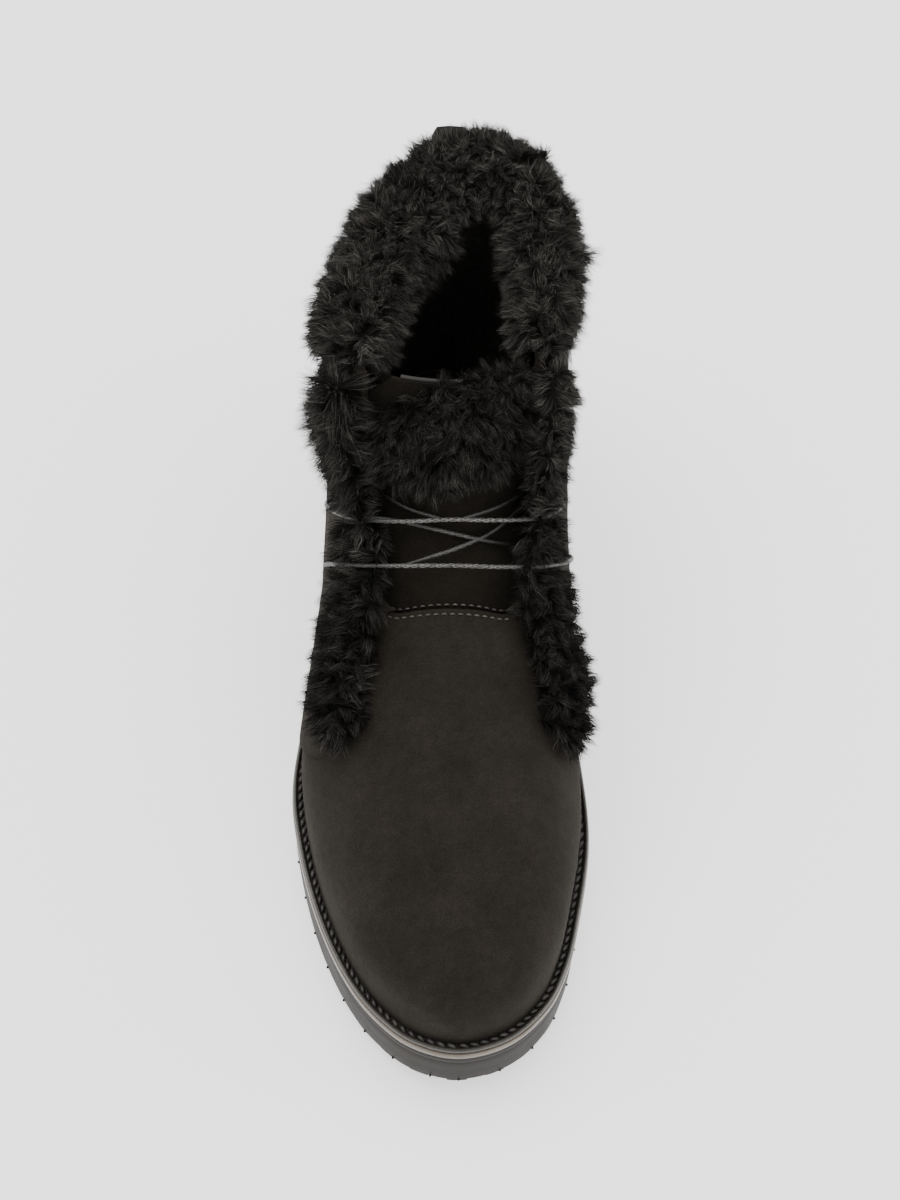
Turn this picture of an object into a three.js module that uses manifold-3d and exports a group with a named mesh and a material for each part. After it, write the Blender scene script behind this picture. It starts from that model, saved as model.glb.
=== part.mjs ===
// Sheepskin ankle boot, right foot, standing on its sole.
// Millimetres. +Z is up, the toe points along -Y and the inner side of the foot is +X.
// The origin is under the middle of the boot, on the ground.
import * as THREE from 'three';
import { mergeVertices } from 'three/addons/utils/BufferGeometryUtils.js';
import Module from 'manifold-3d';

const wasm = await Module();
wasm.setup();

// Driving sizes of the boot
const SOLE_LENGTH = 278;
const BALL_WIDTH = 98;
const SHAFT_HEIGHT = 150;
const FEATHER_HEIGHT = 21.5;
const HEEL_LIFT = 9.5;
const TOE_SPRING = 7;
const TOE_RISE = 6;

// Thicknesses and seats
const WALL = 2.4;
const QUARTER_STEP = 1.2;
const WELT_THICKNESS = 3.5;
const WELT_REACH = 3.7;
const LIP_WIDTH = 1.7;
const LIP_HEIGHT = 2.0;
const MIDSOLE_THICKNESS = 3;
const INSOLE_THICKNESS = 5;
const TONGUE_THICKNESS = 3;
const TONGUE_LAP = 4;
const LUG_DEPTH = 4.5;
const RIM_WIDTH = 3.2;
const RIM_RAISE = 1.2;
const ARCH_DEPTH = 7;
const CLEARANCE = 0.3;

// Lace, fur and tab
const LACE_DIAMETER = 2.2;
const HOLE_DIAMETER = 4;
const COLLAR_FUR_WIDTH = 40;
const COLLAR_FUR_HEIGHT = 24;
const COLLAR_FUR_OUTSIDE = 6.5;
const COLLAR_FUR_TOP = 8;
const FACING_FUR_WIDTH = 21;
const FACING_FUR_HEIGHT = 11;
const TONGUE_FUR_WIDTH = 34;
const TONGUE_FUR_HEIGHT = 16;
const COLLAR_LOCK_LENGTH = 11;
const COLLAR_LOCK_RADIUS = 4.6;
const FACING_LOCK_LENGTH = 11;
const FACING_LOCK_RADIUS = 3.8;
const TONGUE_LOCK_RADIUS = 4;
const LOCK_DROOP = 3;
const TAB_WIDTH = 13;
const TAB_HEIGHT = 34;
const TAB_THICKNESS = 2;
const TAB_ABOVE = -6;
const TAB_ASIDE = -4.4;

// Lugs of the tread
const LUG_PITCH = 12.3;
const LUG_LENGTH = 7.6;
const LUG_WIDTH = 24;
const LUG_ROOT = 1.5;

const LATERAL = -1;
const MEDIAL = 1;

const COLOURS = {
  rubber: { color: 0x4a4643, roughness: 0.62 },
  midsole: { color: 0x6b645d, roughness: 0.6 },
  welt: { color: 0x3a3532, roughness: 0.55 },
  suede: { color: 0x33302c, roughness: 0.95 },
  fur: { color: 0x1b1918, roughness: 1 },
  insole: { color: 0x2b2826, roughness: 0.95 },
  cord: { color: 0x26221f, roughness: 0.6 },
};

// Outline of the welt seen from above: shares of the sole's length and the ball's width.
const WELT_OUTLINE = [
  { along: -0.5, across: 0.035 },
  { along: -0.482, across: 0.2 },
  { along: -0.437, across: 0.325 },
  { along: -0.384, across: 0.392 },
  { along: -0.317, across: 0.436 },
  { along: -0.214, across: 0.477 },
  { along: -0.12, across: 0.462 },
  { along: 0.03, across: 0.39 },
  { along: 0.18, across: 0.352 },
  { along: 0.324, across: 0.345 },
  { along: 0.43, across: 0.272 },
  { along: 0.486, across: 0.13 },
  { along: 0.5, across: -0.01 },
  { along: 0.486, across: -0.15 },
  { along: 0.428, across: -0.293 },
  { along: 0.317, across: -0.365 },
  { along: 0.18, across: -0.395 },
  { along: 0.036, across: -0.445 },
  { along: -0.137, across: -0.517 },
  { along: -0.217, across: -0.495 },
  { along: -0.317, across: -0.425 },
  { along: -0.4, across: -0.327 },
  { along: -0.449, across: -0.234 },
  { along: -0.485, across: -0.118 },
];

// Height of the line where the upper meets the welt, over its height at the ball.
const FEATHER_LINE = [
  { along: -0.5, spring: 1, lift: 0 },
  { along: -0.4, spring: 0.42, lift: 0 },
  { along: -0.3, spring: 0.1, lift: 0 },
  { along: -0.18, spring: 0, lift: 0 },
  { along: -0.06, spring: 0, lift: 0.12 },
  { along: 0.05, spring: 0, lift: 0.4 },
  { along: 0.16, spring: 0, lift: 0.72 },
  { along: 0.28, spring: 0, lift: 0.92 },
  { along: 0.5, spring: 0, lift: 1 },
];

// Height of the tread's underside, as shares of the toe spring.
const TREAD_LINE = [
  { along: -0.5, spring: 1 },
  { along: -0.42, spring: 0.46 },
  { along: -0.34, spring: 0.12 },
  { along: -0.27, spring: 0 },
  { along: 0.5, spring: 0 },
];

// Top line of the upper from the toe to above the collar: shares of length and shaft height.
const RIDGE_LINE = [
  { along: -0.489, up: 0.13 },
  { along: -0.4885, up: 0.19 },
  { along: -0.484, up: 0.258 },
  { along: -0.468, up: 0.322 },
  { along: -0.436, up: 0.372 },
  { along: -0.386, up: 0.408 },
  { along: -0.322, up: 0.436 },
  { along: -0.25, up: 0.47 },
  { along: -0.18, up: 0.51 },
  { along: -0.118, up: 0.55 },
  { along: -0.062, up: 0.6 },
  { along: -0.018, up: 0.668 },
  { along: 0.018, up: 0.745 },
  { along: 0.054, up: 0.825 },
  { along: 0.09, up: 0.9 },
  { along: 0.122, up: 0.97 },
  { along: 0.155, up: 1.06 },
  { along: 0.2, up: 1.25 },
];

// Back line of the upper from under the heel to above the collar.
const BACK_LINE = [
  { along: 0.4885, up: 0.03 },
  { along: 0.4885, up: 0.19 },
  { along: 0.497, up: 0.3 },
  { along: 0.496, up: 0.41 },
  { along: 0.487, up: 0.54 },
  { along: 0.474, up: 0.68 },
  { along: 0.467, up: 0.8 },
  { along: 0.469, up: 0.92 },
  { along: 0.475, up: 1.05 },
  { along: 0.486, up: 1.3 },
];

// The section planes turn about this line, in front of the ankle's bend.
const PIVOT = { along: -0.27, up: 1.067 };

// Sections of the upper. Turn is 0 on the upright plane at the ball and 1 on the level plane
// at the collar. Lateral and medial are shares of the ball width, outer and inner are the
// levels of the widest place on each of those sides, from the far end to the ridge, and lean
// and tail move the ridge and the far end sideways.
const SECTIONS = [
  { turn: -1, lateral: 0.437, medial: 0.437, outer: 0.3, inner: 0.3, lean: 0.03, tail: 0 },
  { turn: -0.5, lateral: 0.437, medial: 0.437, outer: 0.3, inner: 0.3, lean: 0.024, tail: 0 },
  { turn: 0, lateral: 0.44, medial: 0.432, outer: 0.3, inner: 0.3, lean: 0.008, tail: 0 },
  { turn: 0.09, lateral: 0.474, medial: 0.447, outer: 0.3, inner: 0.3, lean: 0, tail: 0 },
  { turn: 0.18, lateral: 0.488, medial: 0.446, outer: 0.31, inner: 0.31, lean: 0, tail: 0 },
  { turn: 0.27, lateral: 0.472, medial: 0.434, outer: 0.35, inner: 0.35, lean: 0, tail: 0 },
  { turn: 0.36, lateral: 0.444, medial: 0.418, outer: 0.42, inner: 0.42, lean: 0.004, tail: 0 },
  { turn: 0.45, lateral: 0.42, medial: 0.405, outer: 0.48, inner: 0.48, lean: 0.006, tail: 0.002 },
  { turn: 0.53, lateral: 0.408, medial: 0.398, outer: 0.53, inner: 0.52, lean: 0.008, tail: 0.004 },
  { turn: 0.6, lateral: 0.402, medial: 0.395, outer: 0.56, inner: 0.53, lean: 0.01, tail: 0.008 },
  { turn: 0.68, lateral: 0.398, medial: 0.39, outer: 0.6, inner: 0.52, lean: 0.012, tail: 0.018 },
  { turn: 0.76, lateral: 0.396, medial: 0.384, outer: 0.66, inner: 0.52, lean: 0.014, tail: 0.03 },
  { turn: 0.84, lateral: 0.396, medial: 0.37, outer: 0.72, inner: 0.52, lean: 0.016, tail: 0.045 },
  { turn: 0.92, lateral: 0.398, medial: 0.355, outer: 0.77, inner: 0.52, lean: 0.018, tail: 0.056 },
  { turn: 1, lateral: 0.4, medial: 0.345, outer: 0.8, inner: 0.52, lean: 0.02, tail: 0.06 },
  { turn: 1.18, lateral: 0.4, medial: 0.343, outer: 0.8, inner: 0.52, lean: 0.022, tail: 0.06 },
];

// Roundings of the sections: the crown over the widest place and the base under it.
const ROUNDINGS = [
  { turn: -1, crown: 2.3, baseLateral: 7, baseMedial: 7 },
  { turn: -0.5, crown: 2.35, baseLateral: 7, baseMedial: 7 },
  { turn: 0, crown: 2.2, baseLateral: 7, baseMedial: 7 },
  { turn: 0.09, crown: 2.1, baseLateral: 7, baseMedial: 7 },
  { turn: 0.18, crown: 2.05, baseLateral: 7, baseMedial: 7 },
  { turn: 0.27, crown: 2.05, baseLateral: 7, baseMedial: 7 },
  { turn: 0.36, crown: 2.05, baseLateral: 6.5, baseMedial: 6.5 },
  { turn: 0.45, crown: 2.1, baseLateral: 5, baseMedial: 5 },
  { turn: 0.53, crown: 2.15, baseLateral: 3.6, baseMedial: 3.6 },
  { turn: 0.6, crown: 2.2, baseLateral: 2.7, baseMedial: 2.7 },
  { turn: 0.68, crown: 2.2, baseLateral: 2.2, baseMedial: 2.4 },
  { turn: 0.76, crown: 2.25, baseLateral: 1.95, baseMedial: 2.3 },
  { turn: 0.84, crown: 2.25, baseLateral: 1.75, baseMedial: 2.3 },
  { turn: 0.92, crown: 2.25, baseLateral: 1.62, baseMedial: 2.2 },
  { turn: 1, crown: 2.25, baseLateral: 1.55, baseMedial: 2.15 },
  { turn: 1.18, crown: 2.25, baseLateral: 1.55, baseMedial: 2.15 },
];

// Value of one column of a table at a place along it, joined smoothly.
function column(rows, key, name, at) {
  const last = rows.length - 1;
  if (at <= rows[0][key]) {
    return rows[0][name];
  }
  if (at >= rows[last][key]) {
    return rows[last][name];
  }
  let i = 0;
  while (at > rows[i + 1][key]) {
    i += 1;
  }
  const slope = (k) => {
    const a = Math.max(k - 1, 0);
    const b = Math.min(k + 1, last);
    const turnsBack = (rows[k][name] - rows[a][name]) * (rows[b][name] - rows[k][name]) <= 0;
    const inside = k > 0 && k < last;
    return inside && turnsBack ? 0 : (rows[b][name] - rows[a][name]) / (rows[b][key] - rows[a][key]);
  };
  const span = rows[i + 1][key] - rows[i][key];
  const s = (at - rows[i][key]) / span;
  const rise = rows[i + 1][name] - rows[i][name];
  const inTangent = slope(i) * span;
  const outTangent = slope(i + 1) * span;
  const bend = (3 - 2 * s) * s * s * rise;
  return rows[i][name] + bend + s * (1 - s) * ((1 - s) * inTangent - s * outTangent);
}

function mix(a, b, share) {
  return a + (b - a) * share;
}

function smoothStep(low, high, value) {
  return THREE.MathUtils.smoothstep(value, low, high);
}

// Steady scatter between -1 and 1, the same on each run.
function scatter(seed) {
  const s = Math.sin(seed * 127.1 + 11.7) * 43758.5453;
  return 2 * (s - Math.floor(s)) - 1;
}

function featherHeight(y) {
  const along = y / SOLE_LENGTH;
  const spring = column(FEATHER_LINE, 'along', 'spring', along) * TOE_RISE;
  return FEATHER_HEIGHT + spring + column(FEATHER_LINE, 'along', 'lift', along) * HEEL_LIFT;
}

function treadHeight(y) {
  return column(TREAD_LINE, 'along', 'spring', y / SOLE_LENGTH) * TOE_SPRING;
}

// Closed outline of the sole, drawn in by an inset, as points in order.
const OUTLINE_STEPS = 360;
const outlineCache = new Map();
function outline(inset) {
  if (outlineCache.has(inset)) {
    return outlineCache.get(inset);
  }
  const corners = WELT_OUTLINE.map((row) =>
    new THREE.Vector3(row.across * BALL_WIDTH, row.along * SOLE_LENGTH, 0));
  const curve = new THREE.CatmullRomCurve3(corners, true, 'centripetal');
  const points = [];
  for (let i = 0; i < OUTLINE_STEPS; i += 1) {
    const at = curve.getPointAt(i / OUTLINE_STEPS);
    const heading = curve.getTangentAt(i / OUTLINE_STEPS);
    points.push(new THREE.Vector2(at.x - heading.y * inset, at.y + heading.x * inset));
  }
  outlineCache.set(inset, points);
  return points;
}

function outlineEnds(inset) {
  const points = outline(inset);
  let toe = points[0];
  let heel = points[0];
  for (const point of points) {
    if (point.y < toe.y) {
      toe = point;
    }
    if (point.y > heel.y) {
      heel = point;
    }
  }
  return { toe, heel };
}

// Place across the sole where the inset outline crosses a line at y, on one side.
function edge(side, y, inset) {
  const points = outline(inset);
  const { toe, heel } = outlineEnds(inset);
  if (y <= toe.y) {
    return toe.x;
  }
  if (y >= heel.y) {
    return heel.x;
  }
  let found = null;
  for (let i = 0; i < points.length; i += 1) {
    const a = points[i];
    const b = points[(i + 1) % points.length];
    if ((a.y - y) * (b.y - y) <= 0 && a.y !== b.y) {
      const x = mix(a.x, b.x, (y - a.y) / (b.y - a.y));
      if (found === null || x * side > found * side) {
        found = x;
      }
    }
  }
  return found;
}

// Closed solid from rings of the same number of points, with both ends closed.
function loft(rings, closeEnd) {
  const size = rings[0].length;
  const positions = rings.flat().flatMap((p) => [p.x, p.y, p.z]);
  const index = [];
  for (let r = 0; r + 1 < rings.length; r += 1) {
    for (let k = 0; k < size; k += 1) {
      const a = r * size + k;
      const b = r * size + ((k + 1) % size);
      index.push(a, b, b + size, a, b + size, a + size);
    }
  }
  const last = (rings.length - 1) * size;
  for (const [i, j, k] of closeEnd(size)) {
    index.push(i, k, j, last + i, last + j, last + k);
  }
  const geometry = new THREE.BufferGeometry();
  geometry.setAttribute('position', new THREE.Float32BufferAttribute(positions, 3));
  geometry.setIndex(index);
  return geometry;
}

// Triangles that close a ring from its first point.
function fanEnd(size) {
  const faces = [];
  for (let k = 1; k + 1 < size; k += 1) {
    faces.push([0, k, k + 1]);
  }
  return faces;
}

// Triangles that close a ring by rungs between its two halves, which start at point 0.
function ladderEnd(size) {
  const faces = [[0, 1, size - 1]];
  for (let k = 1; k < size / 2 - 1; k += 1) {
    faces.push([k, k + 1, size - k]);
    faces.push([k + 1, size - k - 1, size - k]);
  }
  faces.push([size / 2 - 1, size / 2, size / 2 + 1]);
  return faces;
}

function signedVolume(geometry) {
  const p = geometry.attributes.position;
  const at = (i) => new THREE.Vector3().fromBufferAttribute(p, geometry.index.getX(i));
  let total = 0;
  for (let i = 0; i < geometry.index.count; i += 3) {
    total += at(i).dot(at(i + 1).cross(at(i + 2))) / 6;
  }
  return total;
}

// Solid for joining and cutting, with its faces turned outward.
function solid(source) {
  const bare = source.clone();
  bare.deleteAttribute('normal');
  bare.deleteAttribute('uv');
  const merged = mergeVertices(bare, 1e-4);
  const turns = Array.from(merged.index.array);
  if (signedVolume(merged) < 0) {
    turns.reverse();
  }
  return new wasm.Manifold(new wasm.Mesh({
    numProp: 3,
    vertProperties: new Float32Array(merged.attributes.position.array),
    triVerts: new Uint32Array(turns),
  }));
}

function joined(solids) {
  return solids.reduce((whole, next) => whole.add(next));
}

function geometryOf(body) {
  const mesh = body.getMesh();
  const geometry = new THREE.BufferGeometry();
  geometry.setAttribute('position', new THREE.Float32BufferAttribute(mesh.vertProperties, 3));
  geometry.setIndex(new THREE.BufferAttribute(mesh.triVerts, 1));
  geometry.computeVertexNormals();
  return geometry;
}

// Prism along X from a closed line in (y, z).
function sidePrism(corners) {
  const shape = new THREE.Shape(corners.map(([y, z]) => new THREE.Vector2(y, z)));
  const depth = BALL_WIDTH * 2;
  const geometry = new THREE.ExtrudeGeometry(shape, { depth, bevelEnabled: false });
  geometry.translate(0, 0, -depth / 2);
  geometry.applyMatrix4(new THREE.Matrix4().set(0, 0, 1, 0, 1, 0, 0, 0, 0, 1, 0, 0, 0, 0, 0, 1));
  return solid(geometry);
}

// Level slab of the sole between rings, each with an inset and a height that follows y.
const SOLE_RUNGS = 26;
function soleRings(levels) {
  return levels.map(({ inset, height }) => {
    const { toe, heel } = outlineEnds(inset);
    const rungs = [];
    for (let i = 0; i <= SOLE_RUNGS; i += 1) {
      rungs.push(mix(toe.y, heel.y, (1 - Math.cos(Math.PI * i / SOLE_RUNGS)) / 2));
    }
    const ring = [new THREE.Vector3(toe.x, toe.y, height(toe.y))];
    for (let i = 1; i < SOLE_RUNGS; i += 1) {
      ring.push(new THREE.Vector3(edge(LATERAL, rungs[i], inset), rungs[i], height(rungs[i])));
    }
    ring.push(new THREE.Vector3(heel.x, heel.y, height(heel.y)));
    for (let i = SOLE_RUNGS - 1; i > 0; i -= 1) {
      ring.push(new THREE.Vector3(edge(MEDIAL, rungs[i], inset), rungs[i], height(rungs[i])));
    }
    return ring;
  });
}

function soleSlab(levels) {
  return solid(loft(soleRings(levels), ladderEnd));
}

// Strip that runs round the sole's edge: its last level joins its first.
function soleRing(levels) {
  const rings = soleRings(levels);
  return solid(loft([...rings, rings[0]], () => []));
}

// Points of a table line in (y, z), joined smoothly and moved inward by an inset.
function profile(rows, inset, inwardTurn) {
  const corners = rows.map((row) =>
    new THREE.Vector2(row.along * SOLE_LENGTH, row.up * SHAFT_HEIGHT));
  const curve = new THREE.SplineCurve(corners);
  const points = [];
  const steps = rows.length * 8;
  for (let i = 0; i <= steps; i += 1) {
    const at = curve.getPoint(i / steps);
    const heading = curve.getTangent(i / steps);
    const inward = new THREE.Vector2(heading.y, -heading.x).multiplyScalar(inwardTurn);
    points.push(at.addScaledVector(inward, inset));
  }
  return points;
}

const UNDER = 8;
const profileCache = new Map();
function profiles(inset) {
  if (profileCache.has(inset)) {
    return profileCache.get(inset);
  }
  const ridge = profile(RIDGE_LINE, inset, 1);
  const back = profile(BACK_LINE, inset, -1);
  const bottom = [];
  const depth = UNDER + inset * 2;
  for (let i = 0; i <= 60; i += 1) {
    const y = mix(-SOLE_LENGTH / 2 - UNDER, back[0].y, i / 60);
    bottom.push(new THREE.Vector2(y, featherHeight(y) - depth));
  }
  const floor = bottom[bottom.length - 1].y;
  const far = bottom.concat(back.filter((p) => p.y > floor));
  const made = { ridge, far };
  profileCache.set(inset, made);
  return made;
}

// Distance along a ray in (y, z) to a line, the nearest or the furthest crossing.
function reach(line, from, heading, furthest) {
  let found = null;
  for (let i = 0; i + 1 < line.length; i += 1) {
    const a = line[i].clone().sub(from);
    const b = line[i + 1].clone().sub(from);
    const sideA = heading.x * a.y - heading.y * a.x;
    const sideB = heading.x * b.y - heading.y * b.x;
    if (sideA * sideB <= 0 && sideA !== sideB) {
      const at = a.lerp(b, sideA / (sideA - sideB));
      const distance = at.dot(heading);
      if (distance > 0 && (found === null || (distance > found) === furthest)) {
        found = distance;
      }
    }
  }
  return found;
}

// Plane of a section: turn below 0 is upright in front of the pivot, above 0 it swings back.
function sectionPlane(turn, inset) {
  const pivot = new THREE.Vector2(PIVOT.along * SOLE_LENGTH, PIVOT.up * SHAFT_HEIGHT);
  if (turn < 0) {
    const tip = outlineEnds(WELT_REACH + inset).toe.y;
    const y = mix(pivot.x, tip, -turn);
    return { from: new THREE.Vector2(y, pivot.y), heading: new THREE.Vector2(0, -1) };
  }
  const angle = THREE.MathUtils.degToRad(-90 + 90 * turn);
  return { from: pivot, heading: new THREE.Vector2(Math.cos(angle), Math.sin(angle)) };
}

const FEATHER_BLEND = 0.2 * SHAFT_HEIGHT;

// Point of the upper's surface. Round is 0 on the ridge and PI at the far end, with the
// sign of the side, and inset is the depth under the outer face.
function upperPoint(turn, round, side, inset) {
  const { from, heading } = sectionPlane(turn, inset);
  const { ridge, far } = profiles(inset);
  const near = reach(ridge, from, heading, false);
  const end = reach(far, from, heading, true);
  const level = column(SECTIONS, 'turn', side === LATERAL ? 'outer' : 'inner', turn);
  const widest = mix(end, near, level);
  const c = Math.cos(round);
  const s = Math.sin(round);
  const over = c >= 0;
  const base = side === LATERAL ? 'baseLateral' : 'baseMedial';
  const power = 2 / column(ROUNDINGS, 'turn', over ? 'crown' : base, turn);
  const along = mix(widest, over ? near : end, Math.abs(c) ** power);
  const y = from.x + heading.x * along;
  const z = from.y + heading.y * along;
  const lean = column(SECTIONS, 'turn', over ? 'lean' : 'tail', turn) * BALL_WIDTH;
  if (s < 1e-6) {
    return new THREE.Vector3(lean, y, z);
  }
  const share = column(SECTIONS, 'turn', side === LATERAL ? 'lateral' : 'medial', turn);
  let half = side * (share * BALL_WIDTH - inset);
  if (turn < 0) {
    const pivotY = PIVOT.along * SOLE_LENGTH;
    const widthThere = edge(side, y, WELT_REACH + inset) - lean;
    const widthAtPivot = edge(side, pivotY, WELT_REACH + inset) - lean;
    half = lean + (half - lean) * Math.max(widthThere / widthAtPivot, 0);
  }
  const plain = lean + (half - lean) * s ** power;
  const above = z - featherHeight(y);
  const blend = 1 - smoothStep(0, FEATHER_BLEND, above);
  return new THREE.Vector3(mix(plain, edge(side, y, WELT_REACH + inset), blend), y, z);
}

const RING_HALF = 15;
const TURNS = [
  -1, -0.985, -0.955, -0.9, -0.82, -0.68, -0.48, -0.24, 0, 0.1, 0.2, 0.3, 0.39, 0.47, 0.54,
  0.6, 0.66, 0.73, 0.8, 0.88, 0.96, 1.03, 1.1,
];

// Closed form inside the upper's surface at a depth, from the toe to above the collar.
function upperForm(inset) {
  const rings = TURNS.map((turn) => {
    const ring = [];
    for (let k = 0; k <= RING_HALF; k += 1) {
      ring.push(upperPoint(turn, Math.PI * k / RING_HALF, LATERAL, inset));
    }
    for (let k = RING_HALF - 1; k > 0; k -= 1) {
      ring.push(upperPoint(turn, Math.PI * k / RING_HALF, MEDIAL, inset));
    }
    return ring;
  });
  return solid(loft(rings, ladderEnd));
}

// Side view line of the collar's edge: shares of length and shaft height.
const COLLAR_LINE = [
  { along: 0.04, up: 0.955 },
  { along: 0.16, up: 0.955 },
  { along: 0.28, up: 0.968 },
  { along: 0.38, up: 0.985 },
  { along: 0.5, up: 1 },
];

function collarHeight(y) {
  return column(COLLAR_LINE, 'along', 'up', y / SOLE_LENGTH) * SHAFT_HEIGHT;
}

// Everything over the collar's edge, raised by a clearance.
function overCollar(raise) {
  const corners = [];
  for (let i = 0; i <= 16; i += 1) {
    const y = mix(-SOLE_LENGTH * 0.1, SOLE_LENGTH * 0.6, i / 16);
    corners.push([y, collarHeight(y) + raise]);
  }
  corners.push([SOLE_LENGTH * 0.6, SHAFT_HEIGHT * 2]);
  corners.push([-SOLE_LENGTH * 0.1, SHAFT_HEIGHT * 2]);
  return sidePrism(corners);
}

// Everything under the line where the upper meets the welt.
function underFeather(raise) {
  const corners = [];
  for (let i = 0; i <= 48; i += 1) {
    const y = mix(-SOLE_LENGTH * 0.6, SOLE_LENGTH * 0.6, i / 48);
    corners.push([y, featherHeight(y) + raise]);
  }
  corners.push([SOLE_LENGTH * 0.6, -SHAFT_HEIGHT]);
  corners.push([-SOLE_LENGTH * 0.6, -SHAFT_HEIGHT]);
  return sidePrism(corners);
}

// Side view of the quarters: in front of this line the upper is the thinner vamp.
const QUARTER_LINE = [
  { along: -0.01, up: -0.1 },
  { along: -0.02, up: 0.14 },
  { along: -0.075, up: 0.23 },
  { along: -0.14, up: 0.31 },
  { along: -0.174, up: 0.37 },
  { along: -0.178, up: 0.405 },
  { along: -0.16, up: 0.428 },
  { along: -0.12, up: 0.462 },
  { along: -0.07, up: 0.505 },
  { along: -0.05, up: 0.54 },
  { along: -0.052, up: 0.7 },
];

function quarterRegion() {
  const line = QUARTER_LINE.map((row) => [row.along * SOLE_LENGTH, row.up * SHAFT_HEIGHT]);
  const back = SOLE_LENGTH * 0.6;
  return sidePrism(line.concat([
    [-0.052 * SOLE_LENGTH, SHAFT_HEIGHT * 2],
    [back, SHAFT_HEIGHT * 2],
    [back, -0.1 * SHAFT_HEIGHT],
  ]));
}

// Throat seen from above: the vamp's top edge and the quarters' two front edges.
const THROAT_HALF = 0.29 * BALL_WIDTH;
const THROAT_FRONT = -0.055 * SOLE_LENGTH;
const THROAT_BACK = 0.2 * SOLE_LENGTH;
const THROAT_FLOOR = 0.44 * SHAFT_HEIGHT;
function throatPrism() {
  const round = 0.5 * THROAT_HALF;
  const shape = new THREE.Shape();
  shape.moveTo(-THROAT_HALF, THROAT_BACK);
  shape.lineTo(-THROAT_HALF, THROAT_FRONT + round);
  shape.quadraticCurveTo(-THROAT_HALF, THROAT_FRONT, -THROAT_HALF + round, THROAT_FRONT);
  shape.lineTo(THROAT_HALF - round, THROAT_FRONT);
  shape.quadraticCurveTo(THROAT_HALF, THROAT_FRONT, THROAT_HALF, THROAT_FRONT + round);
  shape.lineTo(THROAT_HALF, THROAT_BACK);
  const depth = SHAFT_HEIGHT;
  const geometry = new THREE.ExtrudeGeometry(shape, { depth, bevelEnabled: false, curveSegments: 6 });
  geometry.translate(0, 0, THROAT_FLOOR);
  return solid(geometry);
}

function makeUpper() {
  const vamp = upperForm(0);
  const quarters = upperForm(-QUARTER_STEP).intersect(quarterRegion());
  return vamp.add(quarters)
    .subtract(upperForm(WALL))
    .subtract(underFeather(CLEARANCE))
    .subtract(overCollar(0))
    .subtract(throatPrism())
    .subtract(laceHoles());
}

// Heights of the sole's layers under the feather line.
const weltTop = (y) => featherHeight(y);
const weltBottom = (y) => featherHeight(y) - WELT_THICKNESS;
const midsoleTop = (y) => weltBottom(y) - CLEARANCE;
const midsoleBottom = (y) => midsoleTop(y) - MIDSOLE_THICKNESS;
const outsoleTop = (y) => midsoleBottom(y) - CLEARANCE;

const ARCH_FRONT = -0.07;
const ARCH_BREAST = 0.195;
function outsoleUnder(y) {
  const along = y / SOLE_LENGTH;
  const rising = smoothStep(ARCH_FRONT, ARCH_FRONT + 0.12, along);
  const falling = 1 - smoothStep(ARCH_BREAST - 0.012, ARCH_BREAST + 0.004, along);
  return treadHeight(y) + LUG_DEPTH + ARCH_DEPTH * rising * falling;
}

// The welt reaches this far in under the upper's wall.
const WELT_INNER = WELT_REACH + WALL + 1.8;

function makeWelt() {
  const lip = (y) => weltTop(y) + LIP_HEIGHT;
  return soleRing([
    { inset: 0.3, height: weltBottom },
    { inset: 0, height: (y) => weltBottom(y) + 0.8 },
    { inset: 0, height: (y) => lip(y) - 0.6 },
    { inset: 0.6, height: lip },
    { inset: LIP_WIDTH - 0.4, height: lip },
    { inset: LIP_WIDTH, height: weltTop },
    { inset: WELT_INNER, height: weltTop },
    { inset: WELT_INNER, height: weltBottom },
  ]);
}

function makeMidsole() {
  return soleSlab([
    { inset: 0.7, height: midsoleBottom },
    { inset: 0.35, height: (y) => mix(midsoleBottom(y), midsoleTop(y), 0.25) },
    { inset: 0.35, height: (y) => mix(midsoleBottom(y), midsoleTop(y), 0.75) },
    { inset: 0.8, height: midsoleTop },
  ]);
}

function makeInsole() {
  const inset = WELT_INNER + CLEARANCE + 0.6;
  const low = (y) => midsoleTop(y) + CLEARANCE;
  return soleSlab([
    { inset, height: low },
    { inset, height: (y) => low(y) + INSOLE_THICKNESS - 1 },
    { inset: inset + 1.8, height: (y) => low(y) + INSOLE_THICKNESS },
  ]);
}

// One block of the tread, from the ground up into the sole's web.
function lug(x, y, width, length, turnDegrees) {
  const low = treadHeight(y);
  const high = outsoleUnder(y) + LUG_ROOT;
  const block = new THREE.BoxGeometry(width, length, high - low);
  block.rotateZ(THREE.MathUtils.degToRad(turnDegrees));
  block.translate(x, y, (low + high) / 2);
  return solid(block);
}

function treadRows(from, to) {
  const rows = [];
  const count = Math.floor((to - from) / LUG_PITCH);
  for (let i = 0; i <= count; i += 1) {
    rows.push(from + i * LUG_PITCH);
  }
  return rows;
}

// The outsole's side lies this far inside the sole's outline.
const WALL_INSET = 0.8;

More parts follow.
